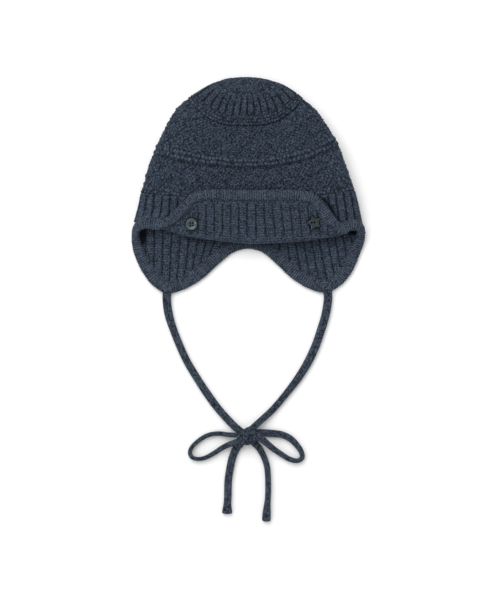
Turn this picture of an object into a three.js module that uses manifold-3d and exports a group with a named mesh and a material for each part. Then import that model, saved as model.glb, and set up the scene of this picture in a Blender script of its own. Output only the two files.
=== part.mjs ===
import * as THREE from 'three';
import Module from 'manifold-3d';

const wasm = await Module();
wasm.setup();

// A baby's knitted cap lying flat on its back. Sizes are millimetres.
// X runs across the cap, Y towards the crown, Z up from the surface that it lies on.

const wall = 3.4; // thickness of the knitted fabric
const gap = 0.3; // between neighbouring pieces
const sideRoll = 1.7; // length of a side fold's rounding, in half heights of the cap
const frontDome = 0.12; // how much lower the front is at its sides than in the middle
const foldRise = 4.5; // from the turned-up fold to the lower edge of the body
const foldGap = 0.35; // between the body and the flap turned up over it

const bodyRibs = 57;
const crownRibs = 30;
const firstGroove = { body: 0.13, crown: 0.34 }; // in ribs from the right side fold
const ribGroove = 1.2;
const flapRibPitch = 7.6;
const flapLeft = -75;
const flapRight = 89.5;
const earRibPitch = 7.2;
const earReach = 12.5; // how near the ear flaps come to the middle of the nape

const bandThick = 4.8; // the binding round the whole rim
const bandSteps = 74;
const tieWidth = 8.1;
const tieThick = 4.8;
const loopWidth = 5.4; // the bow's loops stand nearly on edge
const tailSections = { left: [7.6, 4.8], right: [5.9, 5.4] }; // width and thickness of the ends
const tabReach = { x: 4.7, y: 4.6, z: 1.5 }; // half sizes of the sewn-down end of a tie
const tabOffset = { left: [0.9, -0.2], right: [1.5, 1.3] }; // from the ear flap's tip

const buttonAcross = 10.6;
const buttonThick = 2.4;
const buttonSeat = 0.4; // between the flap and a button's back
const buttonDish = 1.1; // how deep the round button's middle lies under its rim
const roundButtonAt = [-50.9, -35.2];
const roundHoles = { spread: 1.15, radius: 0.7 };
const starButtonAt = [59.2, -33.8];
const starReach = 6.1;
const starWaist = 4.0;
const starTurn = 109; // degrees from X to a point of the star
const starEdge = 0.4; // rounding of the star's edges
const starHoles = { spread: 1.35, radius: 0.75 };

const navy = { color: 0x38404d, roughness: 0.95, metalness: 0 };
const bandNavy = { color: 0x414a58, roughness: 0.95, metalness: 0 };
const tieNavy = { color: 0x333b47, roughness: 0.95, metalness: 0 };
const buttonGrey = { color: 0x3e4c51, roughness: 0.25, metalness: 0 };

// Rings of the flattened cap, from the disc at the crown down to the mouth. left and right are
// where a ring meets the outline, middle is its Y halfway across, half is half of its height and
// mid the height of its side folds. bend says how late a ring leaves the level of its middle, on
// the left and on the right, and drop how much of the wall counts along Y on the inside. Where
// the back reaches lower than the front, backMiddle is its own middle.
const discMiddle = {
  left: [-14, 96.9], right: [9, 96.9], middle: 90.4, half: 5.2, mid: 9.2, bend: [2, 2], drop: 0.9,
};
const discRim = {
  left: [-28, 93.4], right: [24.6, 93.4], middle: 82, half: 8.4, mid: 9.5, bend: [2.3, 2.3], drop: 0.6,
};
const fanMiddle = {
  left: [-39.5, 87.8], right: [36.6, 87.8], middle: 72.4, half: 10.2, mid: 10.3, bend: [2.6, 2.6], drop: 0.4,
};
const ridgeOneTop = {
  left: [-46.9, 83.1], right: [43.4, 83.1], middle: 62.4, half: 11, mid: 11, bend: [2.9, 2.9], drop: 0.2,
};
const ridgeOneFoot = {
  left: [-53.9, 78.5], right: [49.4, 78.5], middle: 53.2, half: 11.7, mid: 11.7, bend: [2.9, 2.9], drop: 0.1,
};
const shoulder = {
  left: [-64.1, 69.4], right: [59.8, 69.4], middle: 48, half: 12.1, mid: 12.1, bend: [2.8, 2.6], drop: 0,
};
const upperMiddle = {
  left: [-71.2, 58], right: [66.4, 60.8], middle: 37.8, half: 12.7, mid: 12.7, bend: [2.6, 2.1], drop: 0,
};
const ridgeTwoTop = {
  left: [-81.9, 36.4], right: [77.5, 43.7], middle: 22.4, half: 13, mid: 13, bend: [1.8, 2.1], drop: 0,
};
const ridgeTwoFoot = {
  left: [-85.4, 28.3], right: [81.9, 35.8], middle: 15.3, half: 12.9, mid: 12.9, bend: [2, 2.3], drop: 0,
};
const lowerMiddle = {
  left: [-89.9, 16.6], right: [87.7, 19.4], middle: 3, half: 12.1, mid: 12.1, bend: [2.3, 1.9], drop: 0,
};
const ridgeThreeTop = {
  left: [-95.2, -2.2], right: [94.6, 0.2], middle: -8.8, half: 10.8, mid: 10.8, bend: [2, 2], drop: 0,
};
const ridgeThreeFoot = {
  left: [-96.6, -7.6], right: [96.4, -5.1], middle: -14, half: 10.3, mid: 10.3, bend: [2, 2], drop: 0,
};
const ribMiddle = {
  left: [-98.7, -17.6], right: [99.7, -17.6], middle: -30.2, half: 8.5, mid: 8.5, bend: [1.5, 2.2], drop: 0,
};
const mouth = {
  left: [-103.2, -33.8], right: [103.5, -35.6], middle: -48.2, half: 6.7, mid: 6.7, bend: [1.3, 2.3],
  drop: 0, backMiddle: -51.5,
};
const crownPole = { x: -0.9, y: 97.6, z: 9.2 };
const ridgeOneRise = [1.3, 1.1]; // at the crest and near the foot
const ridgeTwoRise = [1.2, 1];
const ridgeThreeRise = 0.8;
const seamSink = 0.2; // how much the cap narrows where two bands of knitting meet
const raised = (ring) => ({ ...ring, half: ring.half + ridgeThreeRise });
const frontRings = [
  ridgeTwoFoot, lowerMiddle, raised(ridgeThreeTop), raised(ridgeThreeFoot), ribMiddle, mouth,
];

// Stations of the rim from the middle of the turned-up flap, down its slanting ends, round the
// side, along the ear flap and its tip, to the middle of the nape. lie is how the band lies: on
// the flap or at a height of its own. lean tips it outwards at the side, and width is its width
// on the left and on the right.
const rimStations = [
  { at: 'flap middle', left: [0, -9.6], right: [0, -9.6], lie: 'flap', width: [9.4, 9.4], lean: 0 },
  { at: 'flap corner', left: [-46, -10.9], right: [56.5, -11.2], lie: 'flap', width: [9, 9.4], lean: 0 },
  { at: 'slant upper', left: [-57.6, -20.7], right: [66.5, -18.6], lie: 'flap', width: [8.6, 10], lean: 0 },
  { at: 'slant lower', left: [-69, -31.6], right: [74.6, -31], lie: 'flap', width: [8.8, 10.2], lean: 0 },
  { at: 'temple', left: [-80.5, -35], right: [82.5, -38.6], lie: 'flap', width: [9.8, 9.6], lean: 0.1 },
  { at: 'side upper', left: [-93.3, -34.4], right: [93.6, -35.6], lie: 15.2, width: [9.8, 10], lean: 0.35 },
  { at: 'side turn', left: [-100.3, -38.9], right: [101.2, -38.3], lie: 10.6, width: [8.8, 8.4], lean: 1 },
  { at: 'side low', left: [-100.9, -47], right: [101.8, -47], lie: 5.8, width: [8.4, 7.6], lean: 0.6 },
  { at: 'ear outer', left: [-98.2, -58.8], right: [96.4, -59.1], lie: 2.9, width: [10.4, 10.4], lean: 0.1 },
  { at: 'ear lower', left: [-90.8, -74.3], right: [88.9, -75.2], lie: 2.4, width: [11.6, 11.2], lean: 0 },
  { at: 'ear turn', left: [-81.9, -85.8], right: [79.4, -85.9], lie: 2.4, width: [11.6, 11.2], lean: 0 },
  { at: 'ear tip', left: [-72.7, -91.2], right: [69.2, -90.8], lie: 2.4, width: [11.2, 11], lean: 0 },
  { at: 'inner low', left: [-60.9, -88.6], right: [57.4, -87.7], lie: 2.4, width: [11.6, 11.2], lean: 0 },
  { at: 'inner middle', left: [-45, -79.4], right: [42.8, -78.8], lie: 2.4, width: [11.6, 11.2], lean: 0 },
  { at: 'inner high', left: [-28.8, -65], right: [27.6, -64.8], lie: 2.4, width: [11.2, 10.9], lean: 0 },
  { at: 'nape turn', left: [-15.8, -55.8], right: [15.2, -55.6], lie: 2.4, width: [10, 9.9], lean: 0 },
  { at: 'nape', left: [0, -52], right: [0, -52], lie: 2.4, width: [9.4, 9.4], lean: 0 },
];
const stationIndex = (name) => rimStations.findIndex((station) => station.at === name);

// Routes of the ties along the middle of each tube, from the ear flap to the bow and past it.
const strandRoutes = {
  left: [
    [-72.8, -94, 2.4], [-73.5, -101.3, 2.4], [-71.7, -115.7, 2.4], [-67.3, -130.1, 2.4],
    [-61.6, -144.5, 2.4], [-54.9, -158.9, 2.4], [-46.3, -173.3, 2.4], [-36.9, -187.7, 2.4],
    [-26.2, -202.1, 2.4], [-12.9, -216.5, 2.5], [-5.4, -223, 2.8],
  ],
  right: [
    [71.8, -94, 2.4], [72.3, -101.3, 2.4], [70.2, -115.7, 2.4], [66, -130.1, 2.4], [61, -144.5, 2.4],
    [54.3, -158.9, 2.4], [45.5, -173.3, 2.4], [34.5, -187.7, 2.5], [22.2, -202.1, 2.8],
    [7, -216, 6.2], [0.8, -222, 8.6],
  ],
};
const loopRoutes = {
  left: [
    [-4.5, -225.5, 8.4], [-9.3, -224.9, 7.9], [-17.5, -224.6, 4.6], [-27.2, -223.7, 2.8],
    [-36.9, -225.5, 2.8], [-45, -230.4, 2.8], [-51.3, -236.9, 2.8], [-52.5, -241.4, 2.8],
    [-50.7, -245, 2.8], [-45.9, -246.6, 2.8], [-39.3, -245.8, 2.8], [-31.2, -241.7, 2.8],
    [-23.9, -236.9, 3.6], [-17.5, -233.6, 5.4], [-10.9, -231.2, 7.6], [-4.6, -228.6, 8],
  ],
  right: [
    [1.8, -223.7, 4], [8.6, -223.1, 3.1], [15, -223.1, 2.8], [22.3, -223.6, 2.8], [30.4, -224.7, 2.8],
    [37.8, -228, 2.8], [43.7, -233.6, 2.8], [48.1, -240.1, 2.8], [48.9, -245.4, 2.8], [45, -248.2, 2.8],
    [38.5, -247.2, 2.8], [30.4, -242.6, 2.8], [22.3, -236.9, 4.6], [15.8, -231.2, 8.2],
    [10.2, -226.9, 9.2], [3.6, -225.6, 8.6],
  ],
};
const tailRoutes = {
  left: [
    [-4.8, -228.8, 3], [-7.7, -232.8, 2.6], [-10.9, -237.7, 2.4], [-14.2, -245.8, 2.4], [-16.2, -254.8, 2.4],
    [-17.8, -265.3, 2.4], [-18.3, -280.4, 2.4], [-18.8, -290.3, 2.4], [-18.9, -295.2, 2.4],
  ],
  right: [
    [1.8, -227.3, 3], [3.6, -230.4, 2.9], [9.4, -236.1, 2.8], [14.1, -244.2, 2.8], [17.1, -253.2, 2.8],
    [18, -262.9, 2.8], [18.1, -278.6, 2.8], [17.1, -291.2, 2.8], [16.4, -303.4, 2.8],
  ],
};
const knotCentre = { x: -1.2, y: -225.5, z: 6.3 };
const knotReach = { x: 9.4, y: 8.4, z: 6.2 };

// Geometry from rings of points

function toManifold(points, faces) {
  const vertProperties = new Float32Array(points.length * 3);
  points.forEach((p, i) => vertProperties.set([p.x, p.y, p.z], i * 3));
  const make = (list) => new wasm.Manifold(
    new wasm.Mesh({ numProp: 3, vertProperties, triVerts: new Uint32Array(list.flat()) }),
  );
  const solid = make(faces);
  return solid.volume() > 0 ? solid : make(faces.map(([a, b, c]) => [a, c, b]));
}

function toGeometry(solid) {
  const mesh = solid.getMesh();
  const geometry = new THREE.BufferGeometry();
  geometry.setAttribute('position', new THREE.BufferAttribute(new Float32Array(mesh.vertProperties), 3));
  geometry.setIndex(new THREE.BufferAttribute(new Uint32Array(mesh.triVerts), 1));
  geometry.computeVertexNormals();
  return geometry;
}

function fromGeometry(geometry) {
  // Joins the corners that a three.js shape repeats, so that it is closed
  const position = geometry.getAttribute('position');
  const index = geometry.index ? Array.from(geometry.index.array) : [...Array(position.count).keys()];
  const found = new Map();
  const points = [];
  const merged = index.map((i) => {
    const p = new THREE.Vector3().fromBufferAttribute(position, i);
    const key = [p.x, p.y, p.z].map((v) => Math.round(v * 1e4)).join();
    if (!found.has(key)) {
      found.set(key, points.length);
      points.push(p);
    }
    return found.get(key);
  });
  const faces = [];
  for (let i = 0; i < merged.length; i += 3) {
    const [a, b, c] = merged.slice(i, i + 3);
    if (a !== b && b !== c && c !== a) faces.push([a, b, c]);
  }
  return toManifold(points, faces);
}

function bridge(faces, upper, lower) {
  // A strip of triangles between two rings that may have different numbers of points
  const turnAfter = (ring, i) => (i + 1 < ring.turns.length ? ring.turns[i + 1] : 1 + ring.turns[0]);
  const corner = (ring, i) => ring.first + (i % ring.turns.length);
  const upperSteps = upper.turns.length > 1 ? upper.turns.length : 0;
  const lowerSteps = lower.turns.length > 1 ? lower.turns.length : 0;
  let i = 0;
  let j = 0;
  while (i < upperSteps || j < lowerSteps) {
    const nextUpper = i < upperSteps ? turnAfter(upper, i) : Infinity;
    const nextLower = j < lowerSteps ? turnAfter(lower, j) : Infinity;
    if (nextUpper <= nextLower) {
      faces.push([corner(upper, i), corner(upper, i + 1), corner(lower, j)]);
      i += 1;
    } else {
      faces.push([corner(upper, i), corner(lower, j + 1), corner(lower, j)]);
      j += 1;
    }
  }
}

function weldRings(rings, closed) {
  const points = [];
  const faces = [];
  const placed = rings.map((ring) => {
    const entry = { first: points.length, turns: ring.map((p) => p.turn) };
    points.push(...ring.map((p) => p.point));
    return entry;
  });
  placed.forEach((ring, i) => {
    if (i > 0) bridge(faces, placed[i - 1], ring);
  });
  if (closed) bridge(faces, placed[placed.length - 1], placed[0]);
  return toManifold(points, faces);
}

function weldSections(sections, closed) {
  // A solid from sections with equal numbers of points, each one listed over the top and back under
  const count = sections[0].length;
  const points = sections.flat();
  const faces = [];
  const steps = closed ? sections.length : sections.length - 1;
  for (let s = 0; s < steps; s += 1) {
    const here = s * count;
    const next = ((s + 1) % sections.length) * count;
    for (let i = 0; i < count; i += 1) {
      const j = (i + 1) % count;
      faces.push([here + i, here + j, next + j], [here + i, next + j, next + i]);
    }
  }
  if (!closed) {
    for (const [first, turned] of [[0, false], [(sections.length - 1) * count, true]]) {
      for (let i = 0; i < count / 2 - 1; i += 1) {
        const [a, b, c, d] = [i, i + 1, count - 2 - i, count - 1 - i].map((n) => first + n);
        faces.push(...(turned ? [[a, b, c], [a, c, d]] : [[a, c, b], [a, d, c]]));
      }
    }
  }
  return toManifold(points, faces);
}

function largest(solid) {
  return solid.decompose().sort((a, b) => b.volume() - a.volume())[0];
}

// The body of the cap

function mix(a, b, t) {
  return a + (b - a) * t;
}

function between(upper, lower, t) {
  return {
    left: upper.left.map((v, i) => mix(v, lower.left[i], t)),
    right: upper.right.map((v, i) => mix(v, lower.right[i], t)),
    middle: mix(upper.middle, lower.middle, t),
    half: mix(upper.half, lower.half, t),
    mid: mix(upper.mid, lower.mid, t),
    bend: upper.bend.map((v, i) => mix(v, lower.bend[i], t)),
    drop: mix(upper.drop, lower.drop, t),
  };
}

function ringSize(ring, grow) {
  const width = (ring.right[0] - ring.left[0]) / 2;
  return {
    centre: (ring.right[0] + ring.left[0]) / 2,
    width: width + grow,
    half: ring.half + grow,
    roll: Math.min(sideRoll * ring.half, 0.8 * width) + grow,
  };
}

function heightShare(size, across) {
  const inwards = Math.min(size.width * (1 - Math.abs(across)) / size.roll, 1);
  return Math.sqrt(Math.max(0, 1 - (1 - inwards) ** 2));
}

function ringY(ring, across, onBack = false) {
  const side = across < 0 ? ring.left[1] : ring.right[1];
  const bend = across < 0 ? ring.bend[0] : ring.bend[1];
  const middle = onBack && ring.backMiddle ? ring.backMiddle : ring.middle;
  return middle + (side - middle) * Math.abs(across) ** bend;
}

function sectionAt(ring, size, angle) {
  const across = Math.cos(angle);
  const rise = size.half * heightShare(size, across);
  const top = rise * (1 - frontDome * across * across);
  const z = ring.mid + (Math.sin(angle) >= 0 ? top : -rise);
  return { across, x: size.centre + size.width * across, z };
}

const samplesPerHalf = 120;

function measureHalf(ring, size, startAngle) {
  // Lengths along the front or the back of a ring, to space points evenly by the fabric
  const lengths = [0];
  let last = sectionAt(ring, size, startAngle + 1e-9);
  for (let i = 1; i <= samplesPerHalf; i += 1) {
    const angle = startAngle + (Math.PI * i) / samplesPerHalf - 1e-9;
    const here = sectionAt(ring, size, angle);
    lengths.push(lengths[i - 1] + Math.hypot(here.x - last.x, here.z - last.z));
    last = here;
  }
  return lengths;
}

function angleAt(lengths, startAngle, share) {
  const target = share * lengths[samplesPerHalf];
  let i = 1;
  while (i < samplesPerHalf && lengths[i] < target) i += 1;
  const part = (target - lengths[i - 1]) / (lengths[i] - lengths[i - 1]);
  return startAngle + (Math.PI * (i - 1 + part)) / samplesPerHalf;
}

function ringRow(ring, marks, grow) {
  // marks are turns round the ring, 0 at the right side fold and 0.5 at the left one, with a depth
  const size = ringSize(ring, grow);
  const front = measureHalf(ring, size, 0);
  const back = measureHalf(ring, size, Math.PI);
  const shift = grow === -wall ? -wall * ring.drop : 0;
  return marks.map(({ turn, depth }) => {
    const onFront = turn < 0.5;
    const start = onFront ? 0 : Math.PI;
    const angle = angleAt(onFront ? front : back, start, onFront ? turn * 2 : turn * 2 - 1);
    const place = sectionAt(ring, ringSize(ring, grow - depth), angle);
    const y = ringY(ring, place.across, !onFront) + shift;
    return { turn, point: new THREE.Vector3(place.x, y, Math.max(place.z, 0)) };
  });
}

function evenMarks(count) {
  return Array.from({ length: count }, (_, i) => ({ turn: i / count, depth: 0 }));
}

function ridgeMarks(count, rise) {
  // A raised ridge, which the side folds press nearly flat
  return evenMarks(count).map(({ turn }) => (
    { turn, depth: -rise * (1 - 0.8 * Math.abs(Math.cos(2 * Math.PI * turn)) ** 6) }
  ));
}

function ribMarks(count, first, depth) {
  const marks = [];
  for (let i = 0; i < count; i += 1) {
    marks.push({ turn: (i + first) / count, depth });
    marks.push({ turn: (i + first + 0.3) / count, depth: 0 });
    marks.push({ turn: (i + first + 0.64) / count, depth: 0 });
  }
  return marks;
}

function poleRow(sink) {
  return [{ turn: 0, point: new THREE.Vector3(crownPole.x, crownPole.y - sink, crownPole.z) }];
}

function crownTop() {
  const fan = ribMarks(crownRibs, firstGroove.crown, ribGroove);
  const inside = evenMarks(32);
  return weldRings([
    poleRow(0),
    ringRow(discMiddle, evenMarks(24), 0),
    ringRow(between(discMiddle, discRim, 0.85), evenMarks(40), 0),
    ringRow(discRim, fan.map((m) => ({ ...m, depth: 0 })), -0.8),
    ringRow(between(discRim, fanMiddle, 0.3), fan, 0),
    ringRow(fanMiddle, fan, 0),
    ringRow(ridgeOneTop, fan.map((m) => ({ ...m, depth: 0 })), -0.4),
    ringRow(between(ridgeOneTop, ridgeOneFoot, 0.45), ridgeMarks(48, ridgeOneRise[0]), 0),
    ringRow(between(ridgeOneTop, ridgeOneFoot, 0.8), ridgeMarks(48, ridgeOneRise[1]), 0),
    ringRow(ridgeOneFoot, evenMarks(60), -seamSink),
    ringRow(ridgeOneFoot, evenMarks(44), -wall),
    ringRow(fanMiddle, inside, -wall),
    ringRow(discRim, inside, -wall),
    ringRow(discMiddle, evenMarks(16), -wall),
    poleRow(wall),
  ], false);
}

function crownBody() {
  const outside = evenMarks(60);
  const inside = evenMarks(44);
  const start = between(ridgeOneFoot, shoulder, 0.1);
  const end = between(ridgeThreeTop, ridgeThreeFoot, 0.94);
  return weldRings([
    ringRow(start, outside, -seamSink),
    ringRow(shoulder, outside, 0.1),
    ringRow(upperMiddle, outside, 0.3),
    ringRow(ridgeTwoTop, outside, -0.3),
    ringRow(between(ridgeTwoTop, ridgeTwoFoot, 0.4), ridgeMarks(60, ridgeTwoRise[0]), 0),
    ringRow(between(ridgeTwoTop, ridgeTwoFoot, 0.8), ridgeMarks(60, ridgeTwoRise[1]), 0),
    ringRow(between(ridgeTwoFoot, lowerMiddle, 0.06), outside, -seamSink),
    ringRow(lowerMiddle, outside, 0.3),
    ringRow(ridgeThreeTop, outside, 0),
    ringRow(between(ridgeThreeTop, ridgeThreeFoot, 0.5), ridgeMarks(60, ridgeThreeRise), 0),
    ringRow(end, outside, -seamSink),
    ringRow(end, inside, -wall),
    ringRow(lowerMiddle, inside, -wall),
    ringRow(ridgeTwoTop, inside, -wall),
    ringRow(upperMiddle, inside, -wall),
    ringRow(shoulder, inside, -wall),
    ringRow(start, inside, -wall),
  ], true);
}

function ribBand(bandHollow) {
  const ribs = ribMarks(bodyRibs, firstGroove.body, ribGroove);
  const inside = evenMarks(44);
  const band = weldRings([
    ringRow(ridgeThreeFoot, evenMarks(60), -seamSink),
    ringRow(between(ridgeThreeFoot, ribMiddle, 0.1), ribs, 0),
    ringRow(ribMiddle, ribs, 0),
    ringRow(mouth, ribs, 0),
    ringRow(mouth, inside, -wall),
    ringRow(ribMiddle, inside, -wall),
    ringRow(ridgeThreeFoot, inside, -wall),
  ], true);
  return largest(band.subtract(bandHollow));
}

// The turned-up front flap

function ringHeightAt(ring, x) {
  const size = ringSize(ring, 0);
  const across = THREE.MathUtils.clamp((x - size.centre) / size.width, -1, 1);
  const rise = size.half * heightShare(size, across) * (1 - frontDome * across * across);
  return { y: ringY(ring, across), z: ring.mid + rise };
}

function frontHeight(x, y) {
  // Height of the front of the body above the surface, at a place in plan
  let upper = ringHeightAt(frontRings[0], x);
  for (const ring of frontRings.slice(1)) {
    const lower = ringHeightAt(ring, x);
    if (y >= lower.y) return mix(lower.z, upper.z, (y - lower.y) / (upper.y - lower.y));
    upper = lower;
  }
  return upper.z;
}

function foldY(x) {
  return ringHeightAt(mouth, x).y - foldRise;
}

function flapTop(x, y) {
  return frontHeight(x, y) + foldGap + wall;
}

function flapEdgeY(x) {
  // Upper edge of the flap, from its middle out along the slanting ends
  const side = x < 0 ? 'left' : 'right';
  const stations = rimStations.slice(0, stationIndex('side upper') + 1).map((s) => s[side]);
  for (let i = 1; i < stations.length; i += 1) {
    const [innerX, innerY] = stations[i - 1];
    const [outerX, outerY] = stations[i];
    if (Math.abs(x) <= Math.abs(outerX)) return mix(innerY, outerY, (x - innerX) / (outerX - innerX));
  }
  return stations[stations.length - 1][1];
}

function ribColumns(from, to, pitch) {
  const count = Math.round((to - from) / pitch);
  const step = (to - from) / count;
  const columns = [{ x: from, depth: 0 }];
  for (let i = 0; i < count; i += 1) {
    if (i > 0) columns.push({ x: from + step * (i + 0.2), depth: 0 });
    columns.push({ x: from + step * (i + 0.5), depth: ribGroove });
    if (i < count - 1) columns.push({ x: from + step * (i + 0.8), depth: 0 });
  }
  columns.push({ x: to, depth: 0 });
  return columns;
}

function frontFlap(bandHollow) {
  const outerRadius = wall + foldGap / 2;
  const innerRadius = foldGap / 2;
  const sections = ribColumns(flapLeft, flapRight, flapRibPitch).map(({ x, depth }) => {
    const fold = foldY(x);
    const legStart = fold + foldRise - gap;
    const turn = fold + outerRadius;
    const base = frontHeight(x, fold + foldRise);
    const centre = base + foldGap / 2;
    const edge = Math.max(flapEdgeY(x), turn + 1);
    const at = (y, z) => new THREE.Vector3(x, y, z);
    const outer = outerRadius - depth;
    const diagonal = Math.SQRT1_2;
    const upperYs = [0.5, 1].map((t) => mix(turn, edge, t));
    return [
      at(legStart, base - wall),
      at(turn, centre - outerRadius),
      at(turn - outer * diagonal, centre - outer * diagonal),
      at(turn - outer, centre),
      at(turn - outer * diagonal, centre + outer * diagonal),
      ...upperYs.map((y) => at(y, frontHeight(x, y) + foldGap + wall - depth)),
      ...upperYs.toReversed().map((y) => at(y, frontHeight(x, y) + foldGap)),
      at(turn, base + foldGap),
      at(turn - innerRadius, centre),
      at(turn, base),
      at(legStart, base),
    ];
  });
  return largest(weldSections(sections, false).subtract(bandHollow));
}

// The ear flaps, whose inner faces show below the turned-up front

function lowerRimY(side, x) {
  // Y of the rim's lower stretch at this x
  const stations = rimStations.slice(stationIndex('side low')).map((s) => s[side]);
  for (let i = 1; i < stations.length; i += 1) {
    const [outerX, outerY] = stations[i - 1];
    const [innerX, innerY] = stations[i];
    if (Math.abs(x) <= Math.abs(outerX) && Math.abs(x) >= Math.abs(innerX)) {
      return mix(outerY, innerY, (x - outerX) / (innerX - outerX));
    }
  }
  return stations[0][1];
}

function earFlap(side, bandHollow) {
  const sign = side === 'left' ? -1 : 1;
  const outerX = rimStations[stationIndex('side low')][side][0] - sign * 0.6;
  const innerX = sign * earReach;
  const size = ringSize(mouth, 0);
  const columns = ribColumns(Math.min(outerX, innerX), Math.max(outerX, innerX), earRibPitch);
  const sections = columns.map(({ x, depth }) => {
    const across = (x - size.centre) / size.width;
    const top = ringY(mouth, across, true) - gap;
    const bottom = Math.min(lowerRimY(side, x), top - 1.5);
    const sideLift = mouth.mid - size.half * heightShare(size, across);
    const places = [0, 0.4, 1].map((t) => {
      const fade = THREE.MathUtils.smoothstep(t, 0, 0.7);
      return { y: mix(top, bottom, t), lift: sideLift * (1 - fade) + 0.3 * fade };
    });
    return [
      ...places.map(({ y, lift }) => new THREE.Vector3(x, y, lift + wall - depth * 0.8)),
      ...places.toReversed().map(({ y, lift }) => new THREE.Vector3(x, y, lift)),
    ];
  });
  return largest(weldSections(sections, false).subtract(bandHollow));
}

// The binding, one closed band along every edge

function rimBinding(extra) {
  const stationPoint = (station, side) => {
    const [x, y] = station[side];
    const z = station.lie === 'flap' ? frontHeight(x, y) + foldGap + bandThick / 2 : station.lie;
    return new THREE.Vector3(x, y, z);
  };
  const left = rimStations.map((s) => (
    { point: stationPoint(s, 'left'), wide: s.width[0], out: -s.lean }
  ));
  const right = rimStations.slice(1, -1).toReversed().map((s) => (
    { point: stationPoint(s, 'right'), wide: s.width[1], out: s.lean }
  ));
  const stations = [...left, ...right];
  const curve = new THREE.CatmullRomCurve3(stations.map((s) => s.point), true, 'centripetal');
  const corner = Math.SQRT1_2 ** 0.6;
  const outline = [
    [1, 0], [corner, corner], [0, 1], [-corner, corner],
    [-1, 0], [-corner, -corner], [0, -1], [corner, -corner],
  ];
  const sections = Array.from({ length: bandSteps }, (_, i) => {
    const share = i / bandSteps;
    const at = curve.getPointAt(share);
    const along = curve.getTangentAt(share);
    const place = curve.getUtoTmapping(share) * stations.length;
    const before = stations[Math.floor(place) % stations.length];
    const after = stations[Math.ceil(place) % stations.length];
    const part = place - Math.floor(place);
    const width = mix(before.wide, after.wide, part) / 2 + extra;
    const thick = bandThick / 2 + extra;
    const up = new THREE.Vector3(mix(before.out, after.out, part), 0, 1);
    const across = new THREE.Vector3().crossVectors(along, up).normalize();
    const normal = new THREE.Vector3().crossVectors(across, along).normalize();
    return outline.map(([u, v]) => (
      at.clone().addScaledVector(across, u * width).addScaledVector(normal, v * thick)
    ));
  });
  return weldSections(sections, true);
}

// Ties and bow

function tieTube(route, width, thick, steps) {
  const half = { x: thick / 2, y: width / 2 };
  const corner = Math.SQRT1_2 ** 0.8;
  const outline = [
    [1, 0], [corner, corner], [0, 1], [-corner, corner],
    [-1, 0], [-corner, -corner], [0, -1], [corner, -corner],
  ];
  const section = new THREE.Shape(outline.map(([u, v]) => new THREE.Vector2(u * half.x, v * half.y)));
  const path = new THREE.CatmullRomCurve3(route.map((p) => new THREE.Vector3(...p)), false, 'centripetal');
  const geometry = new THREE.ExtrudeGeometry(section, { steps, bevelEnabled: false, extrudePath: path });
  return fromGeometry(geometry);
}

function knotLump(extra) {
  const ball = new THREE.SphereGeometry(1, 14, 10);
  ball.scale(knotReach.x + extra, knotReach.y + extra, knotReach.z + extra);
  ball.translate(knotCentre.x, knotCentre.y, knotCentre.z);
  return fromGeometry(ball);
}

function tieTab(side) {
  // The tie's end, sewn down over the tip of the ear flap
  const [x, y] = rimStations[stationIndex('ear tip')][side];
  const dome = new THREE.SphereGeometry(1, 12, 8);
  dome.scale(tabReach.x, tabReach.y, tabReach.z);
  dome.translate(x + tabOffset[side][0], y + tabOffset[side][1], bandThick + gap + 0.05 + tabReach.z);
  return fromGeometry(dome);
}

// Buttons

function holeCutter(x, y, radius) {
  const cylinder = new THREE.CylinderGeometry(radius, radius, buttonThick * 4, 8);
  cylinder.rotateX(Math.PI / 2);
  cylinder.translate(x, y, 0);
  return fromGeometry(cylinder);
}

function roundButton() {
  const radius = buttonAcross / 2;
  const profile = [
    [0, 0], [radius - 0.9, 0], [radius, 0.7], [radius, buttonThick - 0.7], [radius - 0.7, buttonThick],
    [radius - 1.5, buttonThick - 0.1], [radius - 2.2, buttonThick - buttonDish + 0.2],
    [0, buttonThick - buttonDish],
  ].map(([r, z]) => new THREE.Vector2(r, z));
  const lathe = new THREE.LatheGeometry(profile, 24);
  lathe.rotateX(Math.PI / 2);
  const { spread, radius: hole } = roundHoles;
  const corners = [[1, 1], [1, -1], [-1, 1], [-1, -1]];
  const holes = corners.map(([u, v]) => holeCutter(u * spread, v * spread, hole));
  return holes.reduce((solid, cutter) => solid.subtract(cutter), fromGeometry(lathe));
}

function starButton() {
  const star = new THREE.Shape();
  const tilt = THREE.MathUtils.degToRad(starTurn);
  for (let i = 0; i < 5; i += 1) {
    const tip = tilt + (i * 2 * Math.PI) / 5;
    const dip = tip + Math.PI / 5;
    const corner = (angle, reach) => [Math.cos(angle) * reach, Math.sin(angle) * reach];
    if (i === 0) star.moveTo(...corner(tip - 0.14, starReach - 0.4));
    else star.lineTo(...corner(tip - 0.14, starReach - 0.4));
    star.quadraticCurveTo(...corner(tip, starReach + 0.3), ...corner(tip + 0.14, starReach - 0.4));
    star.lineTo(...corner(dip, starWaist));
  }
  const geometry = new THREE.ExtrudeGeometry(star, {
    depth: buttonThick - 2 * starEdge, steps: 1, curveSegments: 3, bevelEnabled: true,
    bevelThickness: starEdge, bevelSize: starEdge, bevelOffset: -starEdge, bevelSegments: 2,
  });
  geometry.translate(0, 0, starEdge);
  const holes = [-1, 1].map((u) => holeCutter(u * starHoles.spread, 0, starHoles.radius));
  return holes.reduce((solid, cutter) => solid.subtract(cutter), fromGeometry(geometry));
}

// Assembly

const cap = new THREE.Group();
cap.name = 'knitted_cap';

function add(name, solid, look, parent = cap) {
  const mesh = new THREE.Mesh(toGeometry(solid), new THREE.MeshStandardMaterial(look));
  mesh.name = name;
  parent.add(mesh);
  return mesh;
}

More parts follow.
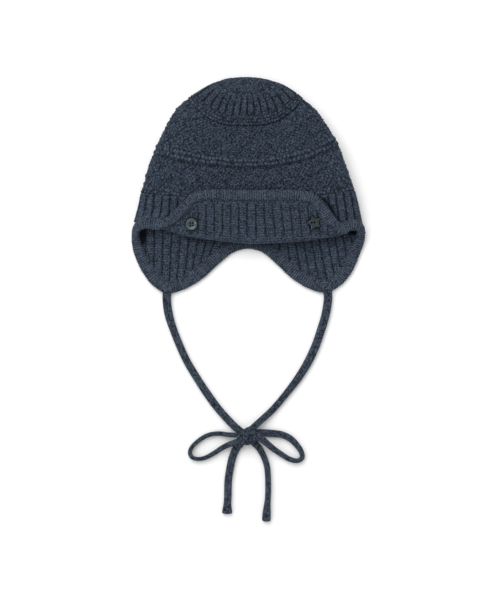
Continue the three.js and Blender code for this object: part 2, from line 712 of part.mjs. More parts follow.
function addOnFlap(name, solid, look, [x, y]) {
  // A piece seated on the flap, tipped as the flap slopes there
  const reach = buttonAcross / 2;
  const slope = Math.atan2(flapTop(x, y + reach) - flapTop(x, y - reach), 2 * reach);
  const mesh = add(name, solid, look);
  mesh.position.set(x, y, flapTop(x, y) + buttonSeat);
  mesh.rotation.x = slope;
}

const bandHollow = rimBinding(gap);
const knotHollow = knotLump(gap);

add('crown_top', crownTop(), navy);
add('crown_body', crownBody(), navy);
add('rib_band', ribBand(bandHollow), navy);
add('front_flap', frontFlap(bandHollow), navy);
add('rim_binding', rimBinding(0), bandNavy);
addOnFlap('round_button', roundButton(), buttonGrey, roundButtonAt);
addOnFlap('star_button', starButton(), buttonGrey, starButtonAt);
add('bow_knot', knotLump(0), tieNavy);

for (const side of ['left', 'right']) {
  add(`ear_flap_${side}`, earFlap(side, bandHollow), navy);
  add(`tie_tab_${side}`, tieTab(side), tieNavy);
  const strand = tieTube(strandRoutes[side], tieWidth, tieThick, 20);
  add(`tie_strand_${side}`, largest(strand.subtract(bandHollow).subtract(knotHollow)), tieNavy);
  const loop = tieTube(loopRoutes[side], loopWidth, loopWidth, 24);
  add(`bow_loop_${side}`, largest(loop.subtract(knotHollow)), tieNavy);
  const tail = tieTube(tailRoutes[side], ...tailSections[side], 10);
  add(`tie_tail_${side}`, largest(tail.subtract(knotHollow)), tieNavy);
}

export default cap;
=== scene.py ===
import math

import bmesh
import bpy
import numpy as np
from mathutils import Matrix, Vector


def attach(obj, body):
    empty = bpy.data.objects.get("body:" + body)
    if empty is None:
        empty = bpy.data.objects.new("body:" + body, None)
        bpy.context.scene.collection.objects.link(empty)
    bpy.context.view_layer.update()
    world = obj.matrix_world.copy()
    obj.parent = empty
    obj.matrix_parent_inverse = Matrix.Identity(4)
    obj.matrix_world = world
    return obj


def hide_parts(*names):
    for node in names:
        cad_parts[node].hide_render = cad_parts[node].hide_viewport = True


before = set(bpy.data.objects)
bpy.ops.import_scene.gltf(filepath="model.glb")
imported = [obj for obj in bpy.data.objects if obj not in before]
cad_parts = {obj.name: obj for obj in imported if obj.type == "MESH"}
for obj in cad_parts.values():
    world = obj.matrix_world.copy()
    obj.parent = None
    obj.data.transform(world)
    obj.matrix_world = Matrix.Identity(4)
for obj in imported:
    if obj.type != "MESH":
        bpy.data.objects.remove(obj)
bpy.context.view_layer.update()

wall = 3.4  # thickness of the knitting; all sizes here are millimetres
foldRise = 4.5  # from the turned-up fold to the lower edge of the body
foldGap = 0.35  # between the body and the flap turned up over it
bandThick = 4.8  # the binding round the rim
chance = np.random.default_rng(11)
print("frame loaded")


# Camera, straight above

photoView = {"centre": (1.8, -103.05), "height": 1900, "level": 10, "tall": 540}


def placeCamera(look):
    data = bpy.data.cameras.new("camera")
    data.sensor_fit = "VERTICAL"
    data.sensor_width = data.sensor_height = 36
    data.lens = 36 * (look["height"] - look["level"]) / look["tall"]
    camera = bpy.data.objects.new("camera", data)
    camera.location = (*[c / 1000 for c in look["centre"]], look["height"] / 1000)
    bpy.context.scene.collection.objects.link(camera)
    bpy.context.scene.camera = camera


placeCamera(photoView)
print("camera placed")


# Yarn and knitting

navyYarn = {
    "dark": (0.0022, 0.0042, 0.008), "light": (0.0555, 0.078, 0.1155), "fleck": 0.7, "patch": 5,
    "fibres": 2600, "fuzz": 0.4, "sheen": 0.12, "crest": 0.86, "melange": 0.72,
}
bindingYarn = {**navyYarn, "light": (0.064, 0.086, 0.122), "melange": 0.64}
tieYarn = {**navyYarn, "fleck": 0.75, "light": (0.067, 0.088, 0.124), "crest": 0.82, "melange": 1.1}


def newMaterial(name):
    material = bpy.data.materials.new(name)
    material.use_nodes = True
    nodes = material.node_tree.nodes
    return material, nodes, material.node_tree.links, nodes["Principled BSDF"]


def colourMix(nodes, dark, light):
    mix = nodes.new("ShaderNodeMix")
    mix.data_type = "RGBA"
    mix.inputs["A"].default_value = (*dark, 1)
    mix.inputs["B"].default_value = (*light, 1)
    return mix


def yarnMaterial(name, yarn):
    # Melange wool: flecks in the colour, painted light on the stitches' tops and painted shade in their dips,
    # grooves and edges (the relief attribute), and a fibre bump
    material, nodes, links, shader = newMaterial(name)
    place = nodes.new("ShaderNodeTexCoord")
    relief = nodes.new("ShaderNodeAttribute")
    relief.attribute_name = "relief"

    def noise(size, detail, low, high):
        cloud = nodes.new("ShaderNodeTexNoise")
        cloud.inputs["Scale"].default_value = 1000 / size
        cloud.inputs["Detail"].default_value = detail
        cloud.inputs["Roughness"].default_value = 0.6
        spread = nodes.new("ShaderNodeMapRange")
        spread.inputs["From Min"].default_value = low
        spread.inputs["From Max"].default_value = high
        spread.inputs["To Min"].default_value = -1
        links.new(place.outputs["Object"], cloud.inputs["Vector"])
        links.new(cloud.outputs["Fac"], spread.inputs["Value"])
        return spread.outputs["Result"]

    def speckle(size):
        cells = nodes.new("ShaderNodeTexVoronoi")
        cells.inputs["Scale"].default_value = 1000 / size
        spread = nodes.new("ShaderNodeMapRange")
        spread.inputs["To Min"].default_value = -1
        links.new(place.outputs["Object"], cells.inputs["Vector"])
        links.new(cells.outputs["Color"], spread.inputs["Value"])
        return spread.outputs["Result"]

    def weighted(value, weight, rest=None):
        node = nodes.new("ShaderNodeMath")
        node.operation = "MULTIPLY_ADD"
        node.inputs[1].default_value = weight
        links.new(value, node.inputs[0])
        if rest is None:
            node.inputs[2].default_value = 0
        else:
            links.new(rest, node.inputs[2])
        return node.outputs[0]

    # the relief attribute paints light on stitch tops and shade in dips, weighted by crest
    tone = weighted(relief.outputs["Fac"], yarn["crest"])
    tone = weighted(speckle(yarn["fleck"]), yarn["melange"], tone)
    tone = weighted(noise(yarn["patch"], 2, 0.36, 0.64), yarn["melange"] * 0.08, tone)
    tint = colourMix(nodes, yarn["dark"], yarn["light"])
    fibres = nodes.new("ShaderNodeTexNoise")
    fibres.inputs["Scale"].default_value = yarn["fibres"]
    fibres.inputs["Detail"].default_value = 3
    bump = nodes.new("ShaderNodeBump")
    bump.inputs["Strength"].default_value = yarn["fuzz"]
    bump.inputs["Distance"].default_value = 0.0004
    links.new(place.outputs["Object"], fibres.inputs["Vector"])
    links.new(tone, tint.inputs["Factor"])
    links.new(tint.outputs["Result"], shader.inputs["Base Color"])
    links.new(fibres.outputs["Fac"], bump.inputs["Height"])
    links.new(bump.outputs["Normal"], shader.inputs["Normal"])
    shader.inputs["Roughness"].default_value = 0.92
    shader.inputs["Sheen Weight"].default_value = yarn["sheen"]
    shader.inputs["Sheen Roughness"].default_value = 0.45
    shader.inputs["Sheen Tint"].default_value = (0.62, 0.72, 0.9, 1)
    shader.inputs["Specular IOR Level"].default_value = 0.2
    return material


navyKnit = yarnMaterial("navyKnit", navyYarn)
bindingKnit = yarnMaterial("bindingKnit", bindingYarn)
tieKnit = yarnMaterial("tieKnit", tieYarn)


def gridPiece(name, points, relief, material, closedRows, closedColumns):
    # A mesh over a grid of points, with its normals outwards and open ends filled
    rows, columns = points.shape[:2]
    index = np.arange(rows * columns).reshape(rows, columns)
    if closedRows:
        index = np.vstack([index, index[:1]])
    if closedColumns:
        index = np.hstack([index, index[:, :1]])
    quads = np.stack([index[:-1, :-1], index[:-1, 1:], index[1:, 1:], index[1:, :-1]], -1).reshape(-1, 4)
    flat = points.reshape(-1, 3) / 1000
    a, b, c, d = (flat[quads[:, i]] for i in range(4))
    volume = np.einsum("ij,ij->", a, np.cross(b, c)) + np.einsum("ij,ij->", a, np.cross(c, d))
    if volume < 0:
        quads = quads[:, ::-1]
    mesh = bpy.data.meshes.new(name)
    mesh.from_pydata(flat.tolist(), [], quads.tolist())
    # relief sets the colour's tone: the stitch pattern, with painted light on its tops and painted shade in
    # its grooves, dips and by edges
    layer = mesh.attributes.new("relief", "FLOAT", "POINT")
    layer.data.foreach_set("value", np.clip(relief, -1, 1).astype(np.float32).ravel())
    work = bmesh.new()
    work.from_mesh(mesh)
    bmesh.ops.remove_doubles(work, verts=work.verts, dist=2e-6)
    edges = [e for e in work.edges if e.is_boundary]
    if edges:
        filled = bmesh.ops.holes_fill(work, edges=edges)["faces"]
        bmesh.ops.triangulate(work, faces=filled)
    for face in work.faces:
        face.smooth = True
    work.to_mesh(mesh)
    work.free()
    piece = bpy.data.objects.new(name, mesh)
    bpy.context.scene.collection.objects.link(piece)
    mesh.materials.append(material)
    return piece


def joined(pieces, name):
    bpy.ops.object.select_all(action="DESELECT")
    for piece in pieces:
        piece.select_set(True)
    bpy.context.view_layer.objects.active = pieces[0]
    bpy.ops.object.join()
    pieces[0].name = pieces[0].data.name = name
    return pieces[0]


def seat(piece, slot, *nodes):
    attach(piece, "root")
    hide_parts(*nodes)
    print(piece.name, len(piece.data.polygons), "faces")


def unit(vectors):
    return vectors / np.maximum(np.linalg.norm(vectors, axis=-1, keepdims=True), 1e-9)


def gridNormals(points):
    return unit(np.cross(np.gradient(points, axis=1), np.gradient(points, axis=0)))


def smooth(t, start, end):
    t = np.clip((t - start) / (end - start), 0, 1)
    return t * t * (3 - 2 * t)


def drift(across, along):
    # Slow unevenness from 0 to 1, which changes over about 1 each way
    grid = chance.random((64, 64))
    across, along = np.broadcast_arrays(across, along)
    column, row = np.floor(across).astype(int), np.floor(along).astype(int)
    u, v = smooth(across - column, 0, 1), smooth(along - row, 0, 1)
    upper = grid[row % 64, column % 64] * (1 - u) + grid[row % 64, (column + 1) % 64] * u
    lower = grid[(row + 1) % 64, column % 64] * (1 - u) + grid[(row + 1) % 64, (column + 1) % 64] * u
    return upper * (1 - v) + lower * v


def bumps(across, along, reach, stagger=0.5, loose=0.1, least=0.7, around=4096):
    # Rounded bumps on a staggered lattice with a pitch of 1, as purl stitches make. 0 to 1.
    uneven = chance.random((3, 64, 256))
    height = np.zeros(np.broadcast(across, along).shape)
    row0 = np.floor(along).astype(int)
    for downRow in (-1, 0, 1):
        row = row0 + downRow
        shift = stagger * (row % 2)
        column0 = np.floor(across - shift).astype(int)
        for side in (-1, 0, 1, 2):
            column = column0 + side
            pick = uneven[:, row % 64, column % around % 256]
            x = across - shift - column - (pick[0] - 0.5) * 2 * loose
            y = along - row - (pick[1] - 0.5) * 2 * loose
            size = least + (1 - least) * pick[2]
            bump = size * np.sqrt(np.clip(1 - (x / reach[0]) ** 2 - (y / reach[1]) ** 2, 0, 1))
            height = np.maximum(height, bump)
    return height


def chevrons(across, along, slant=0.3):
    # Columns of slanting stitches, two legs to a column, with a pitch of 1 both ways. 0 to 1.
    u = across - np.floor(across) - 0.5
    legs = np.abs(np.sin(2 * np.pi * u)) ** 0.6
    return legs * (0.5 + 0.5 * np.cos(2 * np.pi * (along - slant * 2 * np.abs(u)))) ** 0.7


def ringBumps(turns, count, along, reach, loose, least):
    # Bumps in rows round the cap, count to a turn
    return bumps(turns * count, along, reach, 0.5, loose, least, count)


def rungs(ribAcross, along, sag=0.22):
    # Uneven bars up each rib, with a pitch of 1 and out of step with the next rib's. 0 to 1.
    uneven = chance.random((128, 128))
    rib = np.round(ribAcross).astype(int) % 128
    along = along + uneven[rib, 0] + sag * (2 * (ribAcross - np.round(ribAcross))) ** 2
    row = np.floor(along).astype(int)
    return (0.6 + 0.4 * uneven[rib, row % 128]) * np.sin(np.pi * (along - row)) ** 0.8


def ribShape(across, groove=0.2, bars=0.5):
    # across counts ribs, with a groove at each half. 1 on the rib and 0 down in the groove.
    # The bars of stitches bulge over its edges.
    off = np.abs(across - np.round(across))
    return smooth(0.5 - off + 0.05 * (bars - 0.5), 0.25 * groove, groove)


def routeThrough(points, closed=False, step=0.5):
    # A smooth line through points, resampled evenly. Also the place of each sample among the points.
    points = np.array(points, float)
    count = len(points)
    if closed:
        padded = np.vstack([points[-1:], points, points[:2]])
    else:
        padded = np.vstack([2 * points[0] - points[1], points, 2 * points[-1] - points[-2]])
    pieces, places = [], []
    for i in range(count if closed else count - 1):
        a, b, c, d = padded[i:i + 4]
        gaps = [max(np.linalg.norm(q - p), 1e-6) ** 0.5 for p, q in ((a, b), (b, c), (c, d))]
        knots = np.cumsum([0, *gaps])
        t = np.linspace(knots[1], knots[2], 24, endpoint=False)[:, None]
        ab = ((knots[1] - t) * a + (t - knots[0]) * b) / (knots[1] - knots[0])
        bc = ((knots[2] - t) * b + (t - knots[1]) * c) / (knots[2] - knots[1])
        cd = ((knots[3] - t) * c + (t - knots[2]) * d) / (knots[3] - knots[2])
        abc = ((knots[2] - t) * ab + (t - knots[0]) * bc) / (knots[2] - knots[0])
        bcd = ((knots[3] - t) * bc + (t - knots[1]) * cd) / (knots[3] - knots[1])
        pieces.append(((knots[2] - t) * abc + (t - knots[1]) * bcd) / (knots[2] - knots[1]))
        places.append(i + np.arange(24) / 24)
    line = np.vstack([*pieces, points[:1] if closed else points[-1:]])
    place = np.concatenate([*places, [count if closed else count - 1]])
    length = np.concatenate([[0], np.cumsum(np.linalg.norm(np.diff(line, axis=0), axis=1))])
    even = np.linspace(0, length[-1], round(length[-1] / step) + 1)
    if closed:
        even = even[:-1]
    line = np.stack([np.interp(even, length, line[:, k]) for k in range(3)], 1)
    return line, np.interp(even, length, place), even, length[-1]


# Ties, each one tube from the tip of an ear flap through the bow to its free end

tie = {
    "width": 8.1, "wales": 8, "course": 1.8, "relief": 0.45, "around": 36, "step": 0.45, "startRound": 1.5,
    "endRound": 1.7, "knotRound": 4, "knotShade": 0.85,
}
tieRoutes = {
    "left": {
        "strand": [
            (-72.8, -94, 2.4), (-73.5, -101.3, 2.4), (-71.7, -115.7, 2.4), (-67.3, -130.1, 2.4),
            (-61.6, -144.5, 2.4), (-54.9, -158.9, 2.4), (-46.3, -173.3, 2.4), (-36.9, -187.7, 2.4),
            (-26.2, -202.1, 2.4), (-12.9, -216.5, 2.5), (-5.4, -223, 2.8),
        ],
        "loop": [
            (-4.5, -225.5, 8.4), (-9.3, -224.9, 7.9), (-17.5, -224.6, 4.6), (-27.2, -223.7, 2.8),
            (-36.9, -225.5, 2.8), (-45, -230.4, 2.8), (-51.3, -236.9, 2.8), (-52.5, -241.4, 2.8),
            (-50.7, -245, 2.8), (-45.9, -246.6, 2.8), (-39.3, -245.8, 2.8), (-31.2, -241.7, 2.8),
            (-23.9, -236.9, 3.6), (-17.5, -233.6, 5.4), (-10.9, -231.2, 7.6), (-4.6, -228.6, 8),
        ],
        "tail": [
            (-4.8, -228.8, 3), (-7.7, -232.8, 2.6), (-10.9, -237.7, 2.4), (-14.2, -245.8, 2.4),
            (-16.2, -254.8, 2.4), (-17.8, -265.3, 2.4), (-18.3, -280.4, 2.4), (-18.8, -290.3, 2.4),
            (-18.9, -296.6, 2.4),
        ],
    },
    "right": {
        "strand": [
            (71.8, -94, 2.4), (72.3, -101.3, 2.4), (70.2, -115.7, 2.4), (66, -130.1, 2.4),
            (61, -144.5, 2.4), (54.3, -158.9, 2.4), (45.5, -173.3, 2.4), (34.5, -187.7, 2.5),
            (22.2, -202.1, 2.8), (7, -216, 6.2), (0.8, -222, 8.6),
        ],
        "loop": [
            (1.8, -223.7, 4), (8.6, -223.1, 3.1), (15, -223.1, 2.8), (22.3, -223.6, 2.8), (30.4, -224.7, 2.8),
            (37.8, -228, 2.8), (43.7, -233.6, 2.8), (48.1, -240.1, 2.8), (48.9, -245.4, 2.8),
            (45, -248.2, 2.8), (38.5, -247.2, 2.8), (30.4, -242.6, 2.8), (22.3, -236.9, 4.6),
            (15.8, -231.2, 8.2), (10.2, -226.9, 9.2), (3.6, -225.6, 8.6),
        ],
        "tail": [
            (1.8, -227.3, 3), (3.6, -230.4, 2.9), (9.4, -236.1, 2.8), (14.1, -244.2, 2.8),
            (17.1, -253.2, 2.8), (18, -262.9, 2.8), (18.1, -278.6, 2.8), (17.1, -291.2, 2.8),
            (16.4, -303.4, 2.8),
        ],
    },
}
# Width and thickness along each stretch, at shares of its length
tieSections = {
    "left": {
        "strand": [
            (0, 9, 4.6), (0.08, 8.1, 4.8), (0.2, 8.1, 4.8), (0.3, 7.2, 4.8), (0.6, 7.2, 4.8), (0.72, 7.5, 4.8),
            (1, 7, 4.8),
        ],
        "loop": [(0, 4.8, 5), (0.2, 4.6, 5.2), (0.4, 4.1, 5.4), (0.6, 4, 5.4), (0.8, 5, 5.2), (1, 6.4, 5)],
        "tail": [(0, 7.8, 4.4), (0.3, 7.4, 4.8), (0.84, 7.2, 4.8), (0.9, 8.9, 4.9), (1, 10.2, 5)],
    },
    "right": {
        "strand": [
            (0, 8.6, 4.6), (0.08, 8.1, 4.8), (0.5, 8, 4.8), (0.6, 7.5, 4.8), (0.7, 6.5, 5), (1, 6.4, 5),
        ],
        "loop": [
            (0, 7, 4.6), (0.18, 7, 4.8), (0.36, 6.3, 5.2), (0.48, 4.9, 5.4), (0.6, 4.7, 5.4), (0.78, 5.6, 5),
            (1, 7.6, 5),
        ],
        "tail": [
            (0, 6, 5), (0.2, 6.6, 5.2), (0.4, 5.9, 5.4), (0.8, 5.7, 5.4), (0.86, 6.6, 5.4), (0.91, 8, 5.4),
            (1, 8.3, 5.2),
        ],
    },
}


def tubeFrame(along, lean=0.0):
    # Directions across and up at each place of a line that runs along
    along = unit(along)
    up = np.zeros_like(along)
    up[:, 0] = lean
    up[:, 2] = 1
    across = unit(np.cross(along, up))
    return across, np.cross(across, along)


def roundEnd(share):
    return np.sqrt(np.clip(1 - (1 - np.clip(share, 0, 1)) ** 2, 0, 1))


def softSquare(angle, power):
    # A rounded section, 1 wide each way
    c, s = np.cos(angle), np.sin(angle)
    return np.sign(c) * np.abs(c) ** power, np.sign(s) * np.abs(s) ** power


def tubePoints(line, across, normal, width, thick, around, depth):
    angle = np.arange(around) * 2 * np.pi / around
    u, v = softSquare(angle, 0.8)
    wide = np.maximum(width[:, None] / 2 - depth * np.abs(u), 0)
    high = np.maximum(thick[:, None] / 2 - depth * np.abs(v), 0)
    points = line[:, None] + across[:, None] * (u * wide)[..., None] + normal[:, None] * (v * high)[..., None]
    points[..., 2] = np.maximum(points[..., 2], 0)
    return points


def makeTie(side, look):
    routes, sections = tieRoutes[side], tieSections[side]
    names = ("strand", "loop", "tail")
    points = [p for name in names for p in routes[name]]
    line, place, run, length = routeThrough(points, step=look["step"])
    width, thick = np.zeros(len(line)), np.zeros(len(line))
    first = 0
    for name in names:
        last = first + len(routes[name]) - 1
        here = (place >= first - 0.5) & (place <= last + 0.5)
        share = np.clip((place[here] - first) / (last - first), 0, 1)
        shares, widths, thicks = np.array(sections[name]).T
        width[here] = np.interp(share, shares, widths)
        thick[here] = np.interp(share, shares, thicks)
        first = last + 1
    kernel = np.ones(15) / 15
    width = np.convolve(np.pad(width, 7, mode="edge"), kernel, "valid")
    thick = np.convolve(np.pad(thick, 7, mode="edge"), kernel, "valid")
    close = roundEnd(np.minimum((length - run) / look["endRound"], run / look["startRound"]))
    across, normal = tubeFrame(np.gradient(line, axis=0))
    turn = np.arange(look["around"])[None, :] / look["around"]
    knit = chevrons(turn * look["wales"], run[:, None] / look["course"])
    depth = look["relief"] * (1 - knit) * close[:, None]
    tube = tubePoints(line, across, normal, width * close, thick * close, look["around"], depth)
    piece = gridPiece(f"tie_{side}", tube, 0.12 + 0.8 * knit, tieKnit, False, True)
    seat(piece, "tie", f"tie_strand_{side}", f"bow_loop_{side}", f"tie_tail_{side}")
    path = [tuple(p / 1000) for p in line[::6]] + [tuple(line[-1] / 1000)]
    return piece, path, length


# The knot's three visible turns: middle line, width and thickness
knot = {
    "over": {
        "line": [
            (3.9, -223.6, 4.6), (2.2, -221.4, 8.4), (-0.8, -222.4, 11.2), (-4.8, -227.2, 10.8),
            (-8.4, -233.2, 6.4), (-10, -236, 3.8),
        ],
        "width": 8.9, "thick": 5,
    },
    "under": {
        "line": [(5.4, -225.4, 5), (3.6, -229, 8.2), (-0.6, -230.8, 8.4), (-5, -229.4, 6)],
        "width": 6.6, "thick": 5.2,
    },
    "right": {
        "line": [(2.6, -223.6, 6), (5.2, -224.4, 9.4), (9, -226.6, 9.4), (12.6, -229.4, 7.6)],
        "width": 7.4, "thick": 4.6,
    },
}


def makeKnot(look):
    pieces = []
    for name, turn in look.items():
        line, _, run, length = routeThrough(turn["line"], step=tie["step"])
        across, normal = tubeFrame(np.gradient(line, axis=0))
        close = roundEnd(np.minimum(length - run, run) / tie["knotRound"])
        around = tie["around"]
        turned = np.arange(around)[None, :] / around
        knit = chevrons(turned * tie["wales"], run[:, None] / tie["course"])
        # darker towards both sides of each turn: painted shade
        edges = 1 - tie["knotShade"] * np.abs(np.cos(2 * np.pi * turned)) ** 3
        depth = tie["relief"] * (1 - knit) * close[:, None]
        points = tubePoints(line, across, normal, turn["width"] * close, turn["thick"] * close, around, depth)
        pieces.append(gridPiece(f"knot_{name}", points, (0.02 + 0.8 * knit) * edges, tieKnit, False, True))
    return joined(pieces, "bow_turns")


bowTurns = makeKnot(knot)
seat(bowTurns, "tie", "bow_knot")
for side in ("left", "right"):
    piece, path, length = makeTie(side, tie)
    print("tie", side, round(length), "mm")


# The cap's body: rings of the flattened tube of knitting, from the crown down to the mouth

# Where each ring ends at either side, its front's middle, half its height and its mid height, how its sides
# bend, how far a thicker wall moves it towards the crown, and its back's middle
ringColumns = (
    "leftX", "leftY", "rightX", "rightY", "middle", "half", "mid", "bendLeft", "bendRight", "drop", "back",
)
rings = {
    "pole": (-0.9, 97.6, -0.9, 97.6, 97.6, 0.1, 9.2, 2, 2, 1, 97.6),
    "discMiddle": (-14, 96.9, 9, 96.9, 90.4, 5.2, 9.2, 2, 2, 0.9, 90.4),
    "discRim": (-28, 93.4, 24.6, 93.4, 82, 8.4, 9.5, 2.3, 2.3, 0.6, 82),
    "fanMiddle": (-39.5, 87.8, 36.6, 87.8, 72.4, 10.2, 10.3, 2.6, 2.6, 0.4, 72.4),
    "ridgeOneTop": (-46.9, 83.1, 43.4, 83.1, 62.4, 11, 11, 2.9, 2.9, 0.2, 62.4),
    "ridgeOneFoot": (-53.9, 78.5, 49.4, 78.5, 53.2, 11.7, 11.7, 2.9, 2.9, 0.1, 53.2),
    "shoulder": (-64.1, 69.4, 59.8, 69.4, 48, 12.1, 12.1, 2.8, 2.6, 0, 48),
    "upperMiddle": (-71.2, 58, 66.4, 60.8, 37.8, 12.7, 12.7, 2.6, 2.1, 0, 37.8),
    "ridgeTwoTop": (-81.9, 36.4, 77.5, 43.7, 22.4, 13, 13, 1.8, 2.1, 0, 22.4),
    "ridgeTwoFoot": (-85.4, 28.3, 81.9, 35.8, 15.3, 12.9, 12.9, 2, 2.3, 0, 15.3),
    "lowerMiddle": (-89.9, 16.6, 87.7, 19.4, 3, 12.1, 12.1, 2.3, 1.9, 0, 3),
    "ridgeThreeTop": (-95.2, -2.2, 94.6, 0.2, -8.8, 10.8, 10.8, 2, 2, 0, -8.8),
    "ridgeThreeFoot": (-96.6, -7.6, 96.4, -5.1, -14, 10.3, 10.3, 2, 2, 0, -14),
    "ribMiddle": (-98.7, -17.6, 99.7, -17.6, -30.2, 8.5, 8.5, 1.5, 2.2, 0, -30.2),
    "mouth": (-103.2, -33.8, 103.5, -35.6, -48.2, 6.7, 6.7, 1.3, 2.3, 0, -51.5),
}
ringValues = np.array(list(rings.values()))
ringTop = np.stack([ringValues[:, 4], ringValues[:, 5] + ringValues[:, 6]], 1)
ringAt = np.concatenate([[0], np.cumsum(np.linalg.norm(np.diff(ringTop, axis=0), axis=1))])  # down the front
sideRoll = 1.7
frontDome = 0.12


def ringsAt(v):
    # The rings' values at any distance down, on a cubic that doesn't overshoot
    step = np.diff(ringAt)[:, None]
    rise = np.diff(ringValues, axis=0) / step
    inner = np.where(rise[:-1] * rise[1:] > 0, 2 * rise[:-1] * rise[1:] / (rise[:-1] + rise[1:] + 1e-12), 0)
    slope = np.vstack([rise[:1], inner, rise[-1:]])
    i = np.clip(np.searchsorted(ringAt, v, side="right") - 1, 0, len(ringAt) - 2)
    t = ((v - ringAt[i]) / step[i, 0])[:, None]
    a, b, h = ringValues[i], ringValues[i + 1], step[i]
    value = (
        (1 + 2 * t) * (1 - t) ** 2 * a + t * (1 - t) ** 2 * h * slope[i]
        + t * t * (3 - 2 * t) * b + t * t * (t - 1) * h * slope[i + 1]
    )
    return dict(zip(ringColumns, value.T[:, :, None]))


def sectionOf(ring, angle, grow, onBack):
    width = (ring["rightX"] - ring["leftX"]) / 2
    roll = np.minimum(sideRoll * ring["half"], 0.8 * width) + grow
    across = np.cos(angle)
    inwards = np.minimum((width + grow) * (1 - np.abs(across)) / np.maximum(roll, 0.05), 1)
    rise = (ring["half"] + grow) * np.sqrt(np.maximum(0, 1 - (1 - inwards) ** 2))
    x = (ring["rightX"] + ring["leftX"]) / 2 + (width + grow) * across
    z = ring["mid"] + (-rise if onBack else rise * (1 - frontDome * across ** 2))
    return across, x, z


def capSurface(v, turns, grow=0.0):
    # Points of the cap: v runs down it, turns go round it from the right fold over the front to the left
    ring = ringsAt(np.clip(v, 0, ringAt[-1]))
    points = np.zeros((len(v), len(turns), 3))
    for onBack in (False, True):
        here = turns >= 0.5 if onBack else turns < 0.5
        start = math.pi if onBack else 0
        sample = np.linspace(start + 1e-9, start + math.pi - 1e-9, 241)[None, :]
        _, x, z = sectionOf(ring, sample, grow, onBack)
        reach = np.cumsum(np.hypot(np.diff(x, axis=1), np.diff(z, axis=1)), axis=1)
        reach = np.hstack([np.zeros((len(v), 1)), reach])
        share = (turns[here] - (0.5 if onBack else 0)) * 2
        angle = np.array([np.interp(share * r[-1], r, sample[0]) for r in reach])
        across, x, z = sectionOf(ring, angle, grow, onBack)
        middle = ring["back"] if onBack else ring["middle"]
        side = np.where(across < 0, ring["leftY"], ring["rightY"])
        bend = np.where(across < 0, ring["bendLeft"], ring["bendRight"])
        y = middle + (side - middle) * np.abs(across) ** bend
        points[:, here] = np.stack([x, y + grow * ring["drop"], np.maximum(z, 0)], -1)
    return points


def capNormal(v, turns):
    ahead, behind = capSurface(v + 0.5, turns), capSurface(np.maximum(v - 0.5, 0.01), turns)
    here = capSurface(v, turns)
    sideways = np.roll(here, -1, axis=1) - np.roll(here, 1, axis=1)
    return here, unit(np.cross(sideways, ahead - behind))


def turnsFor(front, back):
    halves = np.linspace(0, 0.5, front, endpoint=False), np.linspace(0.5, 1, back, endpoint=False)
    return np.concatenate(halves)


def profileRows(profile, step):
    # Rows along a profile of (distance down, height), which may hook back under a ridge
    corners = np.array(profile, float)
    run = np.concatenate([[0], np.cumsum(np.linalg.norm(np.diff(corners, axis=0), axis=1))])
    even = np.linspace(0, run[-1], round(run[-1] / step) + 1)
    rows = np.stack([np.interp(even, run, corners[:, k]) for k in range(2)], 1)
    soft = rows.copy()
    soft[1:-1] = (rows[:-2] + 2 * rows[1:-1] + rows[2:]) / 4
    return soft[:, 0], soft[:, 1]


def capPiece(name, look, knitting, closed):
    turns = turnsFor(look["front"], look["back"])
    v, height = profileRows(look["profile"], look["step"])
    here, normal = capNormal(v, turns)
    folded = np.abs(np.cos(2 * np.pi * turns)) ** 6
    pressed = smooth(turns, 0.5, 0.56) * (1 - smooth(turns, 0.94, 1))
    raised = np.where(height[:, None] > 0, height[:, None] * (1 - 0.8 * folded), height[:, None])
    knit, depth = knitting(look, v[:, None], turns[None, :], here)
    lift = raised - depth - 0.8 * pressed + look["fuzz"] * folded
    outer = here + normal * lift[..., None]
    outer[..., 2] = np.maximum(outer[..., 2], 0)
    inner = capSurface(np.array(look["inside"], float), turns, -wall)
    points = np.concatenate([outer, inner])
    relief = np.concatenate([knit, np.full(inner.shape[:2], 0.4)])
    return gridPiece(name, points, relief, navyKnit, closed, True)


crownTop = {
    "front": 280, "back": 190, "step": 0.5, "fuzz": 0.5, "ribs": 30, "firstGroove": 0.34, "groove": 1.3,
    "garter": 1.1, "beads": 84, "ridgeAt": 40.6, "ridgeRow": 2.9, "discStitch": (2.4, 1.9), "course": 2.1,
    "barDeep": 0.35,
    "profile": [
        (0, 0), (14.5, 0), (16.6, -0.3), (17.8, -0.4), (18.8, -0.3), (20.5, 0), (37, -0.1), (38.2, 0.2),
        (39.4, 1), (41.4, 1.5), (44.6, 1.6), (46.4, 1.4), (47.3, 0.9), (47.6, 0.3), (47.4, -0.4), (46.8, -1),
    ],
    "inside": (46.6, 37, 28, 20, 14, 9, 5, 2, 0),
}


def knitCrownTop(look, v, turns, here):
    # A plain disc, a fan of ribs, then a raised garter ridge
    disc = 1 - smooth(v, 15.5, 18)
    fan = smooth(v, 17, 19.5) * (1 - smooth(v, 36.8, 38.4))
    ridge = smooth(v, 37.4, 39)
    wide, tall = look["discStitch"]
    stitches = bumps(here[..., 0] / wide, v / tall + 0 * turns, (0.6, 0.6), loose=0.2, least=0.4)
    ribAcross = turns * look["ribs"] - look["firstGroove"] + 0.5
    deep = 0.3 + 0.65 * smooth(v, 20, 28)
    bars = rungs(ribAcross, v / look["course"])
    rib = ribShape(ribAcross + 0.03 * (drift(ribAcross * 1.3, v / 4) - 0.5), 0.2, bars)
    row = (v - look["ridgeAt"]) / look["ridgeRow"]
    beads = ringBumps(turns, look["beads"], row, (0.48, 0.47), 0.17, 0.45)
    depth = (
        disc * 0.5 * (1 - stitches)
        + fan * (look["groove"] * deep * (1 - rib) + look["barDeep"] * rib * (1 - bars))
        + ridge * look["garter"] * (1 - beads)
    )
    # darker down in the fan's grooves: painted shade
    ladder = fan * ((1 - deep * (1 - rib)) * (0.16 + 0.46 * bars) - 0.3 * deep * (1 - rib))
    knit = disc * (0.12 + 0.5 * stitches) + ladder + ridge * (0.9 * beads - 0.06)
    return knit, depth


